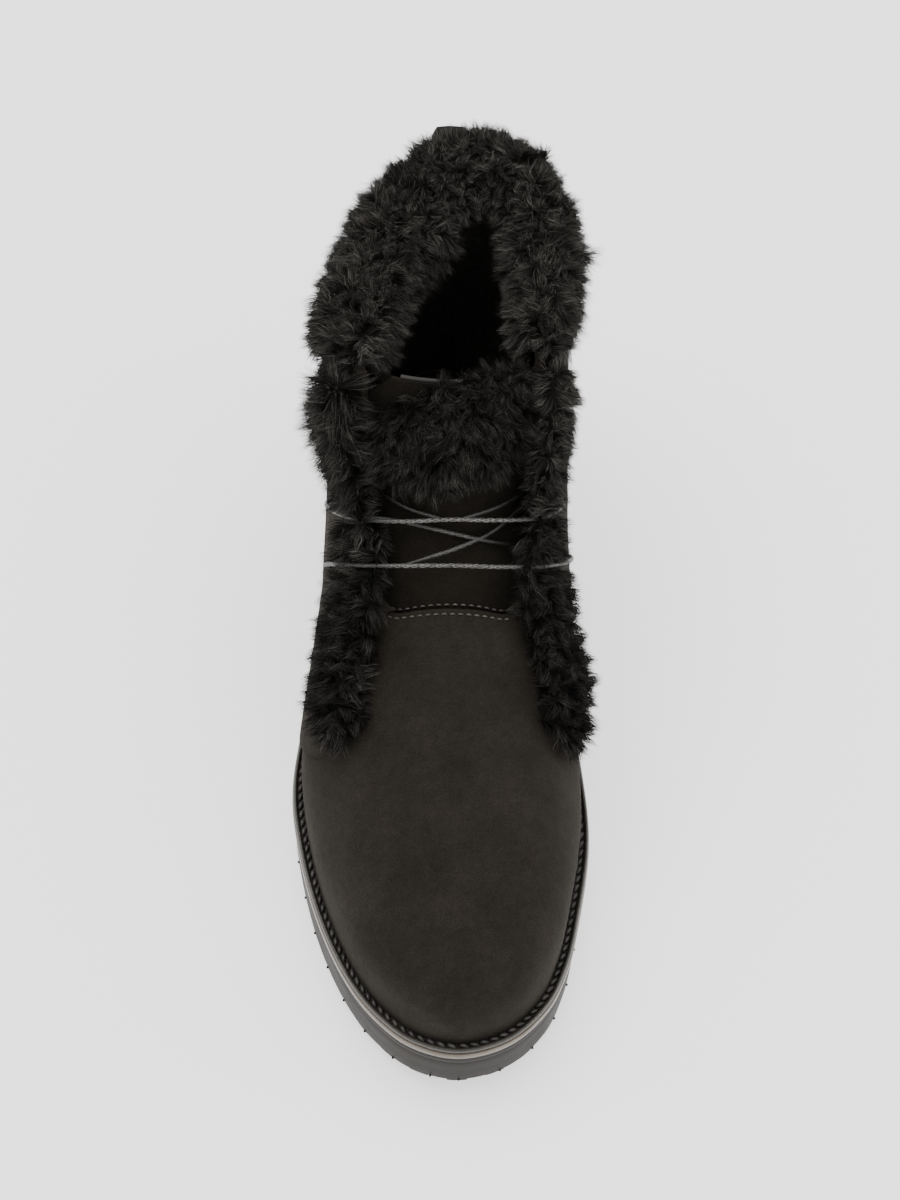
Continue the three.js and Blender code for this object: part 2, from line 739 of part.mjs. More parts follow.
function makeOutsole() {
  const side = (share) => (y) => mix(outsoleUnder(y), outsoleTop(y), share);
  const web = soleSlab([
    { inset: WALL_INSET + 0.1, height: side(0) },
    { inset: WALL_INSET, height: side(0.2) },
    { inset: WALL_INSET - 0.3, height: side(1) },
  ]);
  const half = SOLE_LENGTH / 2;
  const fore = treadRows(-half + LUG_LENGTH, ARCH_FRONT * SOLE_LENGTH + LUG_PITCH);
  const heel = treadRows(ARCH_BREAST * SOLE_LENGTH + LUG_LENGTH, half - LUG_LENGTH);
  const blocks = [];
  fore.concat(heel).forEach((y, row) => {
    for (const side of [LATERAL, MEDIAL]) {
      const x = edge(side, y, 0) - side * LUG_WIDTH / 2 + side * 3;
      blocks.push(lug(x, y, LUG_WIDTH, LUG_LENGTH, side * 12));
    }
    const middle = (edge(LATERAL, y, 0) + edge(MEDIAL, y, 0)) / 2;
    const room = edge(MEDIAL, y, 0) - edge(LATERAL, y, 0) - 2 * LUG_WIDTH;
    if (room > LUG_LENGTH) {
      blocks.push(lug(middle, y + LUG_PITCH / 2, room * 0.55, LUG_LENGTH, row % 2 ? 30 : -30));
    }
  });
  const trim = soleSlab([
    { inset: WALL_INSET + 0.4, height: () => -1 },
    { inset: WALL_INSET + 0.4, height: outsoleTop },
  ]);
  const rimUnder = (y) => outsoleUnder(y) - LUG_DEPTH + RIM_RAISE;
  const rimTop = (y) => outsoleUnder(y) + LUG_ROOT;
  const rim = soleRing([
    { inset: WALL_INSET + 0.9, height: rimUnder },
    { inset: WALL_INSET, height: (y) => rimUnder(y) + 0.7 },
    { inset: WALL_INSET, height: rimTop },
    { inset: WALL_INSET + RIM_WIDTH, height: rimTop },
    { inset: WALL_INSET + RIM_WIDTH - 0.6, height: rimUnder },
  ]);
  return web.add(rim).add(joined(blocks).intersect(trim));
}

// Angle round a section where the upper's outer face is as far across as asked.
function roundFor(turn, across) {
  const side = across < 0 ? LATERAL : MEDIAL;
  let low = 0;
  let high = Math.PI / 2;
  for (let i = 0; i < 24; i += 1) {
    const middle = (low + high) / 2;
    const x = upperPoint(turn, middle, side, 0).x;
    if (x * side < across * side) {
      low = middle;
    } else {
      high = middle;
    }
  }
  return { round: low, side };
}

// Point on the front of the upper, by how far across it lies and how high over its surface.
function frontPoint(turn, across, lift) {
  const { round, side } = roundFor(turn, across);
  return upperPoint(turn, round, side, -lift);
}

// The tongue is a sheet under the quarters, from below the vamp's top edge to over the collar.
const TONGUE = [
  { turn: 0.37, spread: 0.8 },
  { turn: 0.43, spread: 0.93 },
  { turn: 0.5, spread: 1 },
  { turn: 0.57, spread: 1 },
  { turn: 0.64, spread: 1 },
  { turn: 0.71, spread: 1 },
  { turn: 0.76, spread: 0.98 },
  { turn: 0.81, spread: 0.94 },
  { turn: 0.86, spread: 0.86 },
  { turn: 0.895, spread: 0.66 },
];
const TONGUE_STEPS = 8;

function makeTongue(grow) {
  const outer = WALL - grow;
  const inner = WALL + CLEARANCE + TONGUE_THICKNESS + grow;
  const longer = 2 * grow / SHAFT_HEIGHT;
  const rings = TONGUE.map(({ turn, spread }, i) => {
    const at = turn + (i === 0 ? -longer : 0) + (i === TONGUE.length - 1 ? longer : 0);
    const half = (THROAT_HALF + TONGUE_LAP) * spread + 3 * grow;
    const face = [];
    const under = [];
    for (let k = 0; k <= TONGUE_STEPS; k += 1) {
      const across = mix(-half, half, k / TONGUE_STEPS);
      face.push(frontPoint(at, across, -outer));
      under.push(frontPoint(at, across * 0.97, -inner));
    }
    return face.concat(under.reverse());
  });
  return solid(loft(rings, strapEnd)).intersect(upperForm(WALL + CLEARANCE - grow));
}

// Triangles that close a ring whose second half runs back beside its first.
function strapEnd(size) {
  const faces = [];
  for (let k = 0; k < size / 2 - 1; k += 1) {
    faces.push([k, k + 1, size - 1 - k]);
    faces.push([k + 1, size - 2 - k, size - 1 - k]);
  }
  return faces;
}

// Lace. Each strand is a row of points over the front: its turn, how far across as a share
// of the ball width, and how many lace diameters it stands over the upper's surface.
const ROWS = [
  { lateral: { turn: 0.612, across: -0.378 }, medial: { turn: 0.632, across: 0.34 } },
  { lateral: { turn: 0.516, across: -0.38 }, medial: { turn: 0.532, across: 0.372 } },
];
const HOLE_ENTRY = [-0.8, 1.3];
const BARS = [
  [
    { turn: 0.628, across: -0.33, lift: 2.8 },
    { turn: 0.642, across: -0.25, lift: 3.5 },
    { turn: 0.65, across: -0.14, lift: 2 },
    { turn: 0.656, across: 0, lift: 0.6 },
    { turn: 0.655, across: 0.14, lift: 2 },
    { turn: 0.648, across: 0.24, lift: 3.4 },
    { turn: 0.64, across: 0.31, lift: 2.8 },
  ],
  [
    { turn: 0.533, across: -0.33, lift: 2.8 },
    { turn: 0.547, across: -0.25, lift: 3.5 },
    { turn: 0.552, across: -0.14, lift: 2 },
    { turn: 0.553, across: 0, lift: 0.6 },
    { turn: 0.552, across: 0.14, lift: 2 },
    { turn: 0.549, across: 0.25, lift: 3.5 },
    { turn: 0.54, across: 0.33, lift: 2.8 },
  ],
];
const DIAGONALS = [
  [
    { turn: 0.684, across: -0.262, lift: -0.3 },
    { turn: 0.676, across: -0.19, lift: 0 },
    { turn: 0.668, across: -0.12, lift: 0.5 },
    { turn: 0.657, across: -0.04, lift: 0.5 },
  ],
  [
    { turn: 0.682, across: 0.262, lift: -0.3 },
    { turn: 0.676, across: 0.18, lift: 0 },
    { turn: 0.67, across: 0.11, lift: 0.5 },
    { turn: 0.658, across: 0.04, lift: 0.5 },
  ],
  [
    { turn: 0.66, across: 0.262, lift: -0.35 },
    { turn: 0.62, across: 0.14, lift: -0.35 },
    { turn: 0.59, across: 0.02, lift: 0 },
    { turn: 0.566, across: -0.08, lift: 0.5 },
    { turn: 0.552, across: -0.14, lift: 1.9 },
  ],
  [
    { turn: 0.57, across: 0.262, lift: -0.35 },
    { turn: 0.6, across: 0.12, lift: -0.35 },
    { turn: 0.618, across: 0.02, lift: -0.35 },
    { turn: 0.633, across: -0.1, lift: -0.1 },
    { turn: 0.644, across: -0.2, lift: 1.7 },
    { turn: 0.643, across: -0.245, lift: 3.3 },
  ],
];

// Strand points of a bar, which starts and ends straight in the holes of its row.
function barPoints(row, bar) {
  const enter = HOLE_ENTRY.map((lift) => ({ ...row.lateral, lift }));
  const leave = HOLE_ENTRY.map((lift) => ({ ...row.medial, lift })).reverse();
  return [...enter, ...bar, ...leave];
}

const LACE_SIDES = 6;
function makeLace(grow) {
  const radius = LACE_DIAMETER / 2 + grow;
  const section = new THREE.Shape();
  for (let k = 0; k < LACE_SIDES; k += 1) {
    const angle = 2 * Math.PI * k / LACE_SIDES;
    const method = k === 0 ? 'moveTo' : 'lineTo';
    section[method](radius * Math.cos(angle), radius * Math.sin(angle));
  }
  section.closePath();
  const routes = BARS.map((bar, i) => barPoints(ROWS[i], bar)).concat(DIAGONALS);
  const strands = routes.map((rows) => {
    const points = rows.map(({ turn, across, lift }) =>
      frontPoint(turn, across * BALL_WIDTH, lift * LACE_DIAMETER));
    const last = points.length - 1;
    points[0].add(points[0].clone().sub(points[1]).setLength(2 * grow));
    points[last].add(points[last].clone().sub(points[last - 1]).setLength(2 * grow));
    const extrudePath = new THREE.CatmullRomCurve3(points, false, 'centripetal');
    const steps = Math.round(rows.length * 1.6);
    return solid(new THREE.ExtrudeGeometry(section, { steps, extrudePath, bevelEnabled: false }));
  });
  return joined(strands);
}

// Holes punched through the quarters, one at each end of a row.
function laceHoles() {
  const holes = [];
  for (const row of ROWS) {
    for (const { turn, across } of [row.lateral, row.medial]) {
      const middle = frontPoint(turn, across * BALL_WIDTH, 0);
      const outside = frontPoint(turn, across * BALL_WIDTH, 2);
      const length = 4 * (WALL + QUARTER_STEP);
      const punch = new THREE.CylinderGeometry(HOLE_DIAMETER / 2, HOLE_DIAMETER / 2, length, 10);
      const heading = outside.sub(middle);
      const turned = new THREE.Quaternion().setFromUnitVectors(
        new THREE.Vector3(0, 1, 0), heading.normalize());
      punch.applyQuaternion(turned);
      punch.translate(middle.x, middle.y, middle.z);
      holes.push(solid(punch));
    }
  }
  return joined(holes);
}

// One tuft of long pile: a bent spike rooted inside the fur it grows from.
function lock(root, heading, length, radius) {
  const spike = new THREE.ConeGeometry(radius, length, 4, 1);
  spike.translate(0, length / 2, 0);
  const turned = new THREE.Quaternion().setFromUnitVectors(
    new THREE.Vector3(0, 1, 0), heading.clone().normalize());
  spike.applyQuaternion(turned);
  spike.translate(root.x, root.y, root.z);
  return solid(spike);
}

// Roll of fur along a path of frames, each with its middle, its two directions and its half
// sizes along them. The roll swells and thins from place to place, and locks are fused on.
function furRoll(frames, grow, { sides, lumps, locks, seed }) {
  const point = (frame, angle, scale, more) => frame.middle.clone()
    .addScaledVector(frame.across, Math.cos(angle) * (frame.halfAcross * scale + more))
    .addScaledVector(frame.out, Math.sin(angle) * (frame.halfOut * scale + more));
  const last = frames.length - 1;
  const ends = new Map([[0, frames[1]], [last, frames[last - 1]]]);
  const rings = frames.map((frame, i) => {
    const ring = [];
    const beside = ends.get(i);
    const longer = beside
      ? frame.middle.clone().sub(beside.middle).setLength(1.3 * grow) : new THREE.Vector3();
    for (let k = 0; k < sides; k += 1) {
      const scale = 1 + lumps * scatter(seed + i * sides + k);
      ring.push(point(frame, 2 * Math.PI * k / sides, scale, 1.3 * grow).add(longer));
    }
    return ring;
  });
  let roll = solid(loft(rings, fanEnd));
  const tufts = [];
  for (let n = 0; n < locks.count; n += 1) {
    const at = 1 + Math.round((frames.length - 3) * (n + 0.5) / locks.count);
    const frame = frames[at];
    const angle = mix(locks.from, locks.to, 0.5 + 0.5 * scatter(seed + 500 + n));
    const root = point(frame, angle, 0.62, 0);
    const tip = point(frame, angle, 1, 0).add(locks.droop);
    const heading = tip.sub(root);
    const length = locks.length * (1 + 0.25 * scatter(seed + 900 + n));
    tufts.push(lock(root, heading, length + 4 * grow, locks.radius + 2 * grow));
  }
  return tufts.length ? roll.add(joined(tufts)) : roll;
}

// Largest of the pieces that a cut leaves.
function largest(body) {
  return body.decompose().reduce((best, next) => (next.volume() > best.volume() ? next : best));
}

// Place on the collar's edge, by the angle round the section.
function collarPoint(round, side, inset) {
  let low = 0.8;
  let high = 1.1;
  for (let i = 0; i < 24; i += 1) {
    const middle = (low + high) / 2;
    const at = upperPoint(middle, round, side, inset);
    if (at.z < collarHeight(at.y)) {
      low = middle;
    } else {
      high = middle;
    }
  }
  return upperPoint(low, round, side, inset);
}

// Thickness of the collar's fur from the lateral front corner, 0, round the heel to the
// medial one, 1, as shares of its greatest width and height.
const COLLAR_FUR_ROUND = [
  { round: 0, width: 0.6, height: 0.8 },
  { round: 0.08, width: 0.9, height: 1 },
  { round: 0.2, width: 0.96, height: 1 },
  { round: 0.33, width: 0.88, height: 0.95 },
  { round: 0.43, width: 0.88, height: 0.9 },
  { round: 0.5, width: 0.94, height: 0.9 },
  { round: 0.58, width: 0.8, height: 0.95 },
  { round: 0.68, width: 0.66, height: 1 },
  { round: 0.82, width: 0.6, height: 1 },
  { round: 0.94, width: 0.56, height: 1 },
  { round: 1, width: 0.46, height: 0.8 },
];

const COLLAR_FUR_STEPS = 28;
const UP = new THREE.Vector3(0, 0, 1);
function collarFurFrames() {
  const start = roundFor(0.94, -THROAT_HALF * 1.02).round;
  const frames = [];
  for (let i = 0; i <= COLLAR_FUR_STEPS; i += 1) {
    const share = i / COLLAR_FUR_STEPS;
    const whole = mix(start, 2 * Math.PI - start, share);
    const side = whole <= Math.PI ? LATERAL : MEDIAL;
    const round = side === LATERAL ? whole : 2 * Math.PI - whole;
    const edgeAt = collarPoint(round, side, 0);
    const outside = collarPoint(round, side, -2);
    const out = outside.sub(edgeAt).setZ(0).normalize();
    const halfWidth = COLLAR_FUR_WIDTH / 2 * column(COLLAR_FUR_ROUND, 'round', 'width', share);
    const halfHeight = COLLAR_FUR_HEIGHT / 2 * column(COLLAR_FUR_ROUND, 'round', 'height', share);
    const middle = edgeAt.clone()
      .addScaledVector(out, COLLAR_FUR_OUTSIDE - halfWidth)
      .addScaledVector(UP, COLLAR_FUR_TOP - COLLAR_FUR_HEIGHT / 2);
    frames.push({
      middle,
      across: out,
      out: UP,
      halfAcross: halfWidth,
      halfOut: halfHeight,
    });
  }
  return frames;
}

function collarFurRoll(grow) {
  const locks = {
    count: 22,
    from: -0.4,
    to: 2.6,
    length: COLLAR_LOCK_LENGTH,
    radius: COLLAR_LOCK_RADIUS,
    droop: new THREE.Vector3(0, 0, LOCK_DROOP),
  };
  return furRoll(collarFurFrames(), grow, { sides: 9, lumps: 0.07, locks, seed: 3 });
}

// Line of the fur down each quarter's front edge, from the collar to the vamp.
const FACING_FUR_LINE = [
  { turn: 0.9, lateral: -0.32, medial: 0.275, size: 0.95 },
  { turn: 0.84, lateral: -0.315, medial: 0.27, size: 1.1 },
  { turn: 0.76, lateral: -0.29, medial: 0.262, size: 1.05 },
  { turn: 0.67, lateral: -0.265, medial: 0.256, size: 0.95 },
  { turn: 0.6, lateral: -0.258, medial: 0.256, size: 0.95 },
  { turn: 0.545, lateral: -0.258, medial: 0.262, size: 0.95 },
  { turn: 0.48, lateral: -0.274, medial: 0.278, size: 1 },
  { turn: 0.42, lateral: -0.292, medial: 0.298, size: 1 },
  { turn: 0.36, lateral: -0.308, medial: 0.32, size: 1 },
  { turn: 0.3, lateral: -0.322, medial: 0.34, size: 1 },
  { turn: 0.245, lateral: -0.332, medial: 0.352, size: 0.95 },
  { turn: 0.19, lateral: -0.338, medial: 0.36, size: 0.8 },
  { turn: 0.155, lateral: -0.342, medial: 0.362, size: 0.45 },
];

function facingFurRoll(side, grow) {
  const name = side === LATERAL ? 'lateral' : 'medial';
  const steps = 18;
  const frames = [];
  const first = FACING_FUR_LINE[0].turn;
  const lastTurn = FACING_FUR_LINE[FACING_FUR_LINE.length - 1].turn;
  const rows = FACING_FUR_LINE.map((row) => ({ ...row, down: first - row.turn }));
  const at = (turn, lift) => {
    const share = column(rows, 'down', name, first - turn);
    return frontPoint(turn, share * BALL_WIDTH, lift);
  };
  for (let i = 0; i <= steps; i += 1) {
    const turn = mix(first, lastTurn, i / steps);
    const size = column(rows, 'down', 'size', first - turn);
    const foot = at(turn, QUARTER_STEP);
    const out = at(turn, QUARTER_STEP + 2).sub(foot).setY(0).normalize();
    const heading = at(turn - 0.01, 0).sub(at(turn + 0.01, 0)).normalize();
    const across = new THREE.Vector3().crossVectors(heading, out).normalize();
    const square = new THREE.Vector3().crossVectors(across, heading).normalize();
    frames.push({
      middle: foot.addScaledVector(square, FACING_FUR_HEIGHT / 2 * 0.8 * size),
      across: across.multiplyScalar(-side),
      out: square,
      halfAcross: FACING_FUR_WIDTH / 2 * size,
      halfOut: FACING_FUR_HEIGHT / 2 * size,
    });
  }
  const locks = {
    count: 11,
    from: 2.2,
    to: 3.5,
    length: FACING_LOCK_LENGTH,
    radius: FACING_LOCK_RADIUS,
    droop: new THREE.Vector3(0, -LOCK_DROOP, 0),
  };
  return furRoll(frames, grow, { sides: 8, lumps: 0.08, locks, seed: 200 + side * 40 });
}

function tongueFurRoll(grow) {
  const steps = 12;
  const frames = [];
  for (let i = 0; i <= steps; i += 1) {
    const share = mix(-1, 1, i / steps);
    const across = share * THROAT_HALF * 0.9;
    const taper = Math.sqrt(1 - 0.75 * share * share);
    const turn = 0.83 + 0.03 * share;
    const foot = frontPoint(turn, across, 0);
    const up = frontPoint(turn + 0.03, across, 0).sub(frontPoint(turn - 0.03, across, 0)).normalize();
    const out = frontPoint(turn, across, 2).sub(foot).normalize();
    frames.push({
      middle: foot.addScaledVector(out, 1),
      across: up,
      out,
      halfAcross: TONGUE_FUR_WIDTH / 2 * taper * (1 + 0.12 * share),
      halfOut: TONGUE_FUR_HEIGHT / 2 * taper,
    });
  }
  const locks = {
    count: 9,
    from: 1.2,
    to: 3.4,
    length: FACING_LOCK_LENGTH,
    radius: TONGUE_LOCK_RADIUS,
    droop: new THREE.Vector3(0, -LOCK_DROOP, -LOCK_DROOP),
  };
  return furRoll(frames, grow, { sides: 10, lumps: 0.07, locks, seed: 700 });
}

// Everything that the upper's wall fills, grown by the clearance.
function wallRoom() {
  return upperForm(-QUARTER_STEP - CLEARANCE)
    .subtract(upperForm(WALL + CLEARANCE))
    .subtract(overCollar(CLEARANCE));
}

function makeHeelTab() {
  const steps = 9;
  const rings = [];
  const back = profiles(-QUARTER_STEP).far;
  for (let i = 0; i <= steps; i += 1) {
    const share = i / steps;
    const z = collarHeight(SOLE_LENGTH / 2) + TAB_ABOVE - TAB_HEIGHT * (1 - share);
    const against = back.find((p) => p.y >= Math.min(z, SHAFT_HEIGHT) && p.x > 0).x;
    const stand = CLEARANCE + COLLAR_FUR_OUTSIDE * smoothStep(0.1, 0.6, share) * 1.1;
    const half = TAB_WIDTH / 2 * (share === 0 || share === 1 ? 0.86 : 1);
    const middle = mix(0.02, 0.04, share) * BALL_WIDTH + TAB_ASIDE * share;
    const ring = [];
    for (const [dx, dy] of [[-1, 0], [0, 0.06], [1, 0], [1, 1], [0, 1.06], [-1, 1]]) {
      const curve = dx === 0 ? 0 : -0.5;
      ring.push(new THREE.Vector3(middle + dx * half, against + stand + curve + dy * TAB_THICKNESS, z));
    }
    rings.push(ring);
  }
  return solid(loft(rings, fanEnd)).subtract(wallRoom()).subtract(collarFurRoll(CLEARANCE));
}

const boot = new THREE.Group();

function place(name, body, look) {
  const mesh = new THREE.Mesh(geometryOf(body), new THREE.MeshStandardMaterial(look));
  mesh.name = name;
  boot.add(mesh);
}

const laceRoom = makeLace(CLEARANCE);
const wall = wallRoom();
const collarFur = largest(collarFurRoll(0).subtract(wall).subtract(makeTongue(CLEARANCE)));
const facingFurs = [LATERAL, MEDIAL].map((side) => largest(facingFurRoll(side, 0)
  .subtract(upperForm(-QUARTER_STEP - CLEARANCE))
  .subtract(collarFurRoll(CLEARANCE))
  .subtract(laceRoom)));
const tongueFur = largest(tongueFurRoll(0)
  .subtract(makeTongue(CLEARANCE))
  .subtract(wall.subtract(throatPrism()))
  .subtract(collarFurRoll(CLEARANCE))
  .subtract(facingFurRoll(LATERAL, CLEARANCE))
  .subtract(facingFurRoll(MEDIAL, CLEARANCE))
  .subtract(laceRoom));

place('outsole', makeOutsole(), COLOURS.rubber);
place('midsole', makeMidsole(), COLOURS.midsole);
place('welt', makeWelt(), COLOURS.welt);
place('insole', makeInsole(), COLOURS.insole);
place('upper', makeUpper(), COLOURS.suede);
place('tongue', makeTongue(0), COLOURS.suede);
place('collar_fur', collarFur, COLOURS.fur);
place('lateral_facing_fur', facingFurs[0], COLOURS.fur);
place('medial_facing_fur', facingFurs[1], COLOURS.fur);
place('tongue_fur', tongueFur, COLOURS.fur);
place('heel_tab', largest(makeHeelTab()), COLOURS.suede);
place('lace', makeLace(0), COLOURS.cord);

// The origin is set under the middle of the finished boot.
const bounds = new THREE.Box3().setFromObject(boot);
const middle = bounds.getCenter(new THREE.Vector3());
boot.position.set(-middle.x, -middle.y, -bounds.min.z);

export default boot;
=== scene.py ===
"""Looks of a right-foot sheepskin ankle boot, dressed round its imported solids.

Sizes are in millimetres inside the classes, on the boot's own last, and each
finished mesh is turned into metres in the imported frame.
"""

import logging
import math
from collections.abc import Callable, Sequence
from dataclasses import dataclass, field, replace
from enum import Enum

import bmesh
import bpy
import numpy as np
from mathutils import Matrix, Vector
from mathutils.bvhtree import BVHTree
from mathutils.kdtree import KDTree


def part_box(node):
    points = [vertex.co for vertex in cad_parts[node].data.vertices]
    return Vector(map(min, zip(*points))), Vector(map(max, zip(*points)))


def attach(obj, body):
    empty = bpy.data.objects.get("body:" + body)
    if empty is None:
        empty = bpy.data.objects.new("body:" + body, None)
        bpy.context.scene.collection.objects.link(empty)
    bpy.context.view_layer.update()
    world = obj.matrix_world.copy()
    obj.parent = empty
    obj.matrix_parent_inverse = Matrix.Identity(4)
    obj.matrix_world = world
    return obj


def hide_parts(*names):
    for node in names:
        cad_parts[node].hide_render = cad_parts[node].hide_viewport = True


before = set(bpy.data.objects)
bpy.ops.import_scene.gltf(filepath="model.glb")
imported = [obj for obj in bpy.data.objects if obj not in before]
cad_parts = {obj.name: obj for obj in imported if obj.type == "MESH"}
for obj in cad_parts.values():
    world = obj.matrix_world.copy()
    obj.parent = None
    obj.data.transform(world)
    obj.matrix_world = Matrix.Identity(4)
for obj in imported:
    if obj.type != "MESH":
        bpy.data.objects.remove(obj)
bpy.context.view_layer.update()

LOG = logging.getLogger("boot")
MM = 0.001
BODY = "root"
Points = np.ndarray
Colour = tuple[float, float, float]


class Side(Enum):
    """The two sides of the foot, with their sign along X."""

    LATERAL = -1
    MEDIAL = 1


class Slot(Enum):
    """Names of the material slots, one given with each piece."""

    RUBBER = "rubber"
    MIDSOLE = "midsole_rubber"
    WELT = "welt_leather"
    SUEDE = "suede"
    FUR = "sheepskin"
    LINING = "lining"
    CORD = "waxed_cord"


def mix(low: Points, high: Points, share: Points) -> Points:
    """Value between two others by a share."""
    return low + (high - low) * share


def smooth_step(low: float, high: float, value: Points) -> Points:
    """Soft step from 0 at low to 1 at high."""
    share = np.clip((value - low) / (high - low), 0, 1)
    return share * share * (3 - 2 * share)


@dataclass(frozen=True)
class SmoothLine:
    """Table of places and values, joined smoothly without overshoot."""

    keys: tuple[float, ...]
    values: tuple[float, ...]

    @classmethod
    def of(cls, rows: Sequence[tuple[float, ...]], column: int = 1) -> "SmoothLine":
        """Line from one column of a table whose first column is the place."""
        return cls(tuple(row[0] for row in rows), tuple(row[column] for row in rows))

    def slopes(self) -> Points:
        """Slope at each row, level where the values turn back."""
        x, y = np.array(self.keys), np.array(self.values)
        before, after = np.r_[0, 0 : len(x) - 1], np.r_[1 : len(x), len(x) - 1]
        slope = (y[after] - y[before]) / (x[after] - x[before])
        turns = (y - y[before]) * (y[after] - y) <= 0
        turns[[0, -1]] = False
        return np.where(turns, 0.0, slope)

    def __call__(self, at: Points) -> Points:
        """Value at one place or many.

        Args:
            at: Places along the table, held within its ends.

        Returns:
            The joined values there.
        """
        x, y, slope = np.array(self.keys), np.array(self.values), self.slopes()
        at = np.clip(at, x[0], x[-1])
        i = np.clip(np.searchsorted(x, at) - 1, 0, len(x) - 2)
        span, rise = x[i + 1] - x[i], y[i + 1] - y[i]
        s = (at - x[i]) / span
        bend = (1 - s) * slope[i] * span - s * slope[i + 1] * span
        return y[i] + (3 - 2 * s) * s * s * rise + s * (1 - s) * bend


def spline(points: Points, steps: int, closed: bool = False) -> Points:
    """Centripetal curve through points, sampled evenly along its length.

    Args:
        points: Points in order, two or three numbers each.
        steps: Number of spans of the result.
        closed: Whether the curve returns to its first point.

    Returns:
        steps points on a closed curve, or steps + 1 on an open one.
    """
    if closed:
        around = np.vstack([points[-1], points, points[:2]])
    else:
        around = np.vstack([2 * points[0] - points[1], points, 2 * points[-1] - points[-2]])
    pieces = []
    share = np.linspace(0, 1, 33)[:-1, None]
    for p0, p1, p2, p3 in zip(around, around[1:], around[2:], around[3:]):
        d0, d1, d2 = (math.sqrt(np.linalg.norm(b - a)) for a, b in ((p0, p1), (p1, p2), (p2, p3)))
        t1 = ((p1 - p0) / d0 - (p2 - p0) / (d0 + d1) + (p2 - p1) / d1) * d1
        t2 = ((p2 - p1) / d1 - (p3 - p1) / (d1 + d2) + (p3 - p2) / d2) * d1
        square, cube = 3 * (p2 - p1) - 2 * t1 - t2, 2 * (p1 - p2) + t1 + t2
        pieces.append(p1 + share * t1 + share**2 * square + share**3 * cube)
    pieces.append(around[-2][None])
    dense = np.vstack(pieces)
    length = np.r_[0, np.cumsum(np.linalg.norm(np.diff(dense, axis=0), axis=1))]
    even = np.linspace(0, length[-1], steps + 1)
    made = np.stack([np.interp(even, length, dense[:, k]) for k in range(dense.shape[1])], axis=1)
    return made[:-1] if closed else made


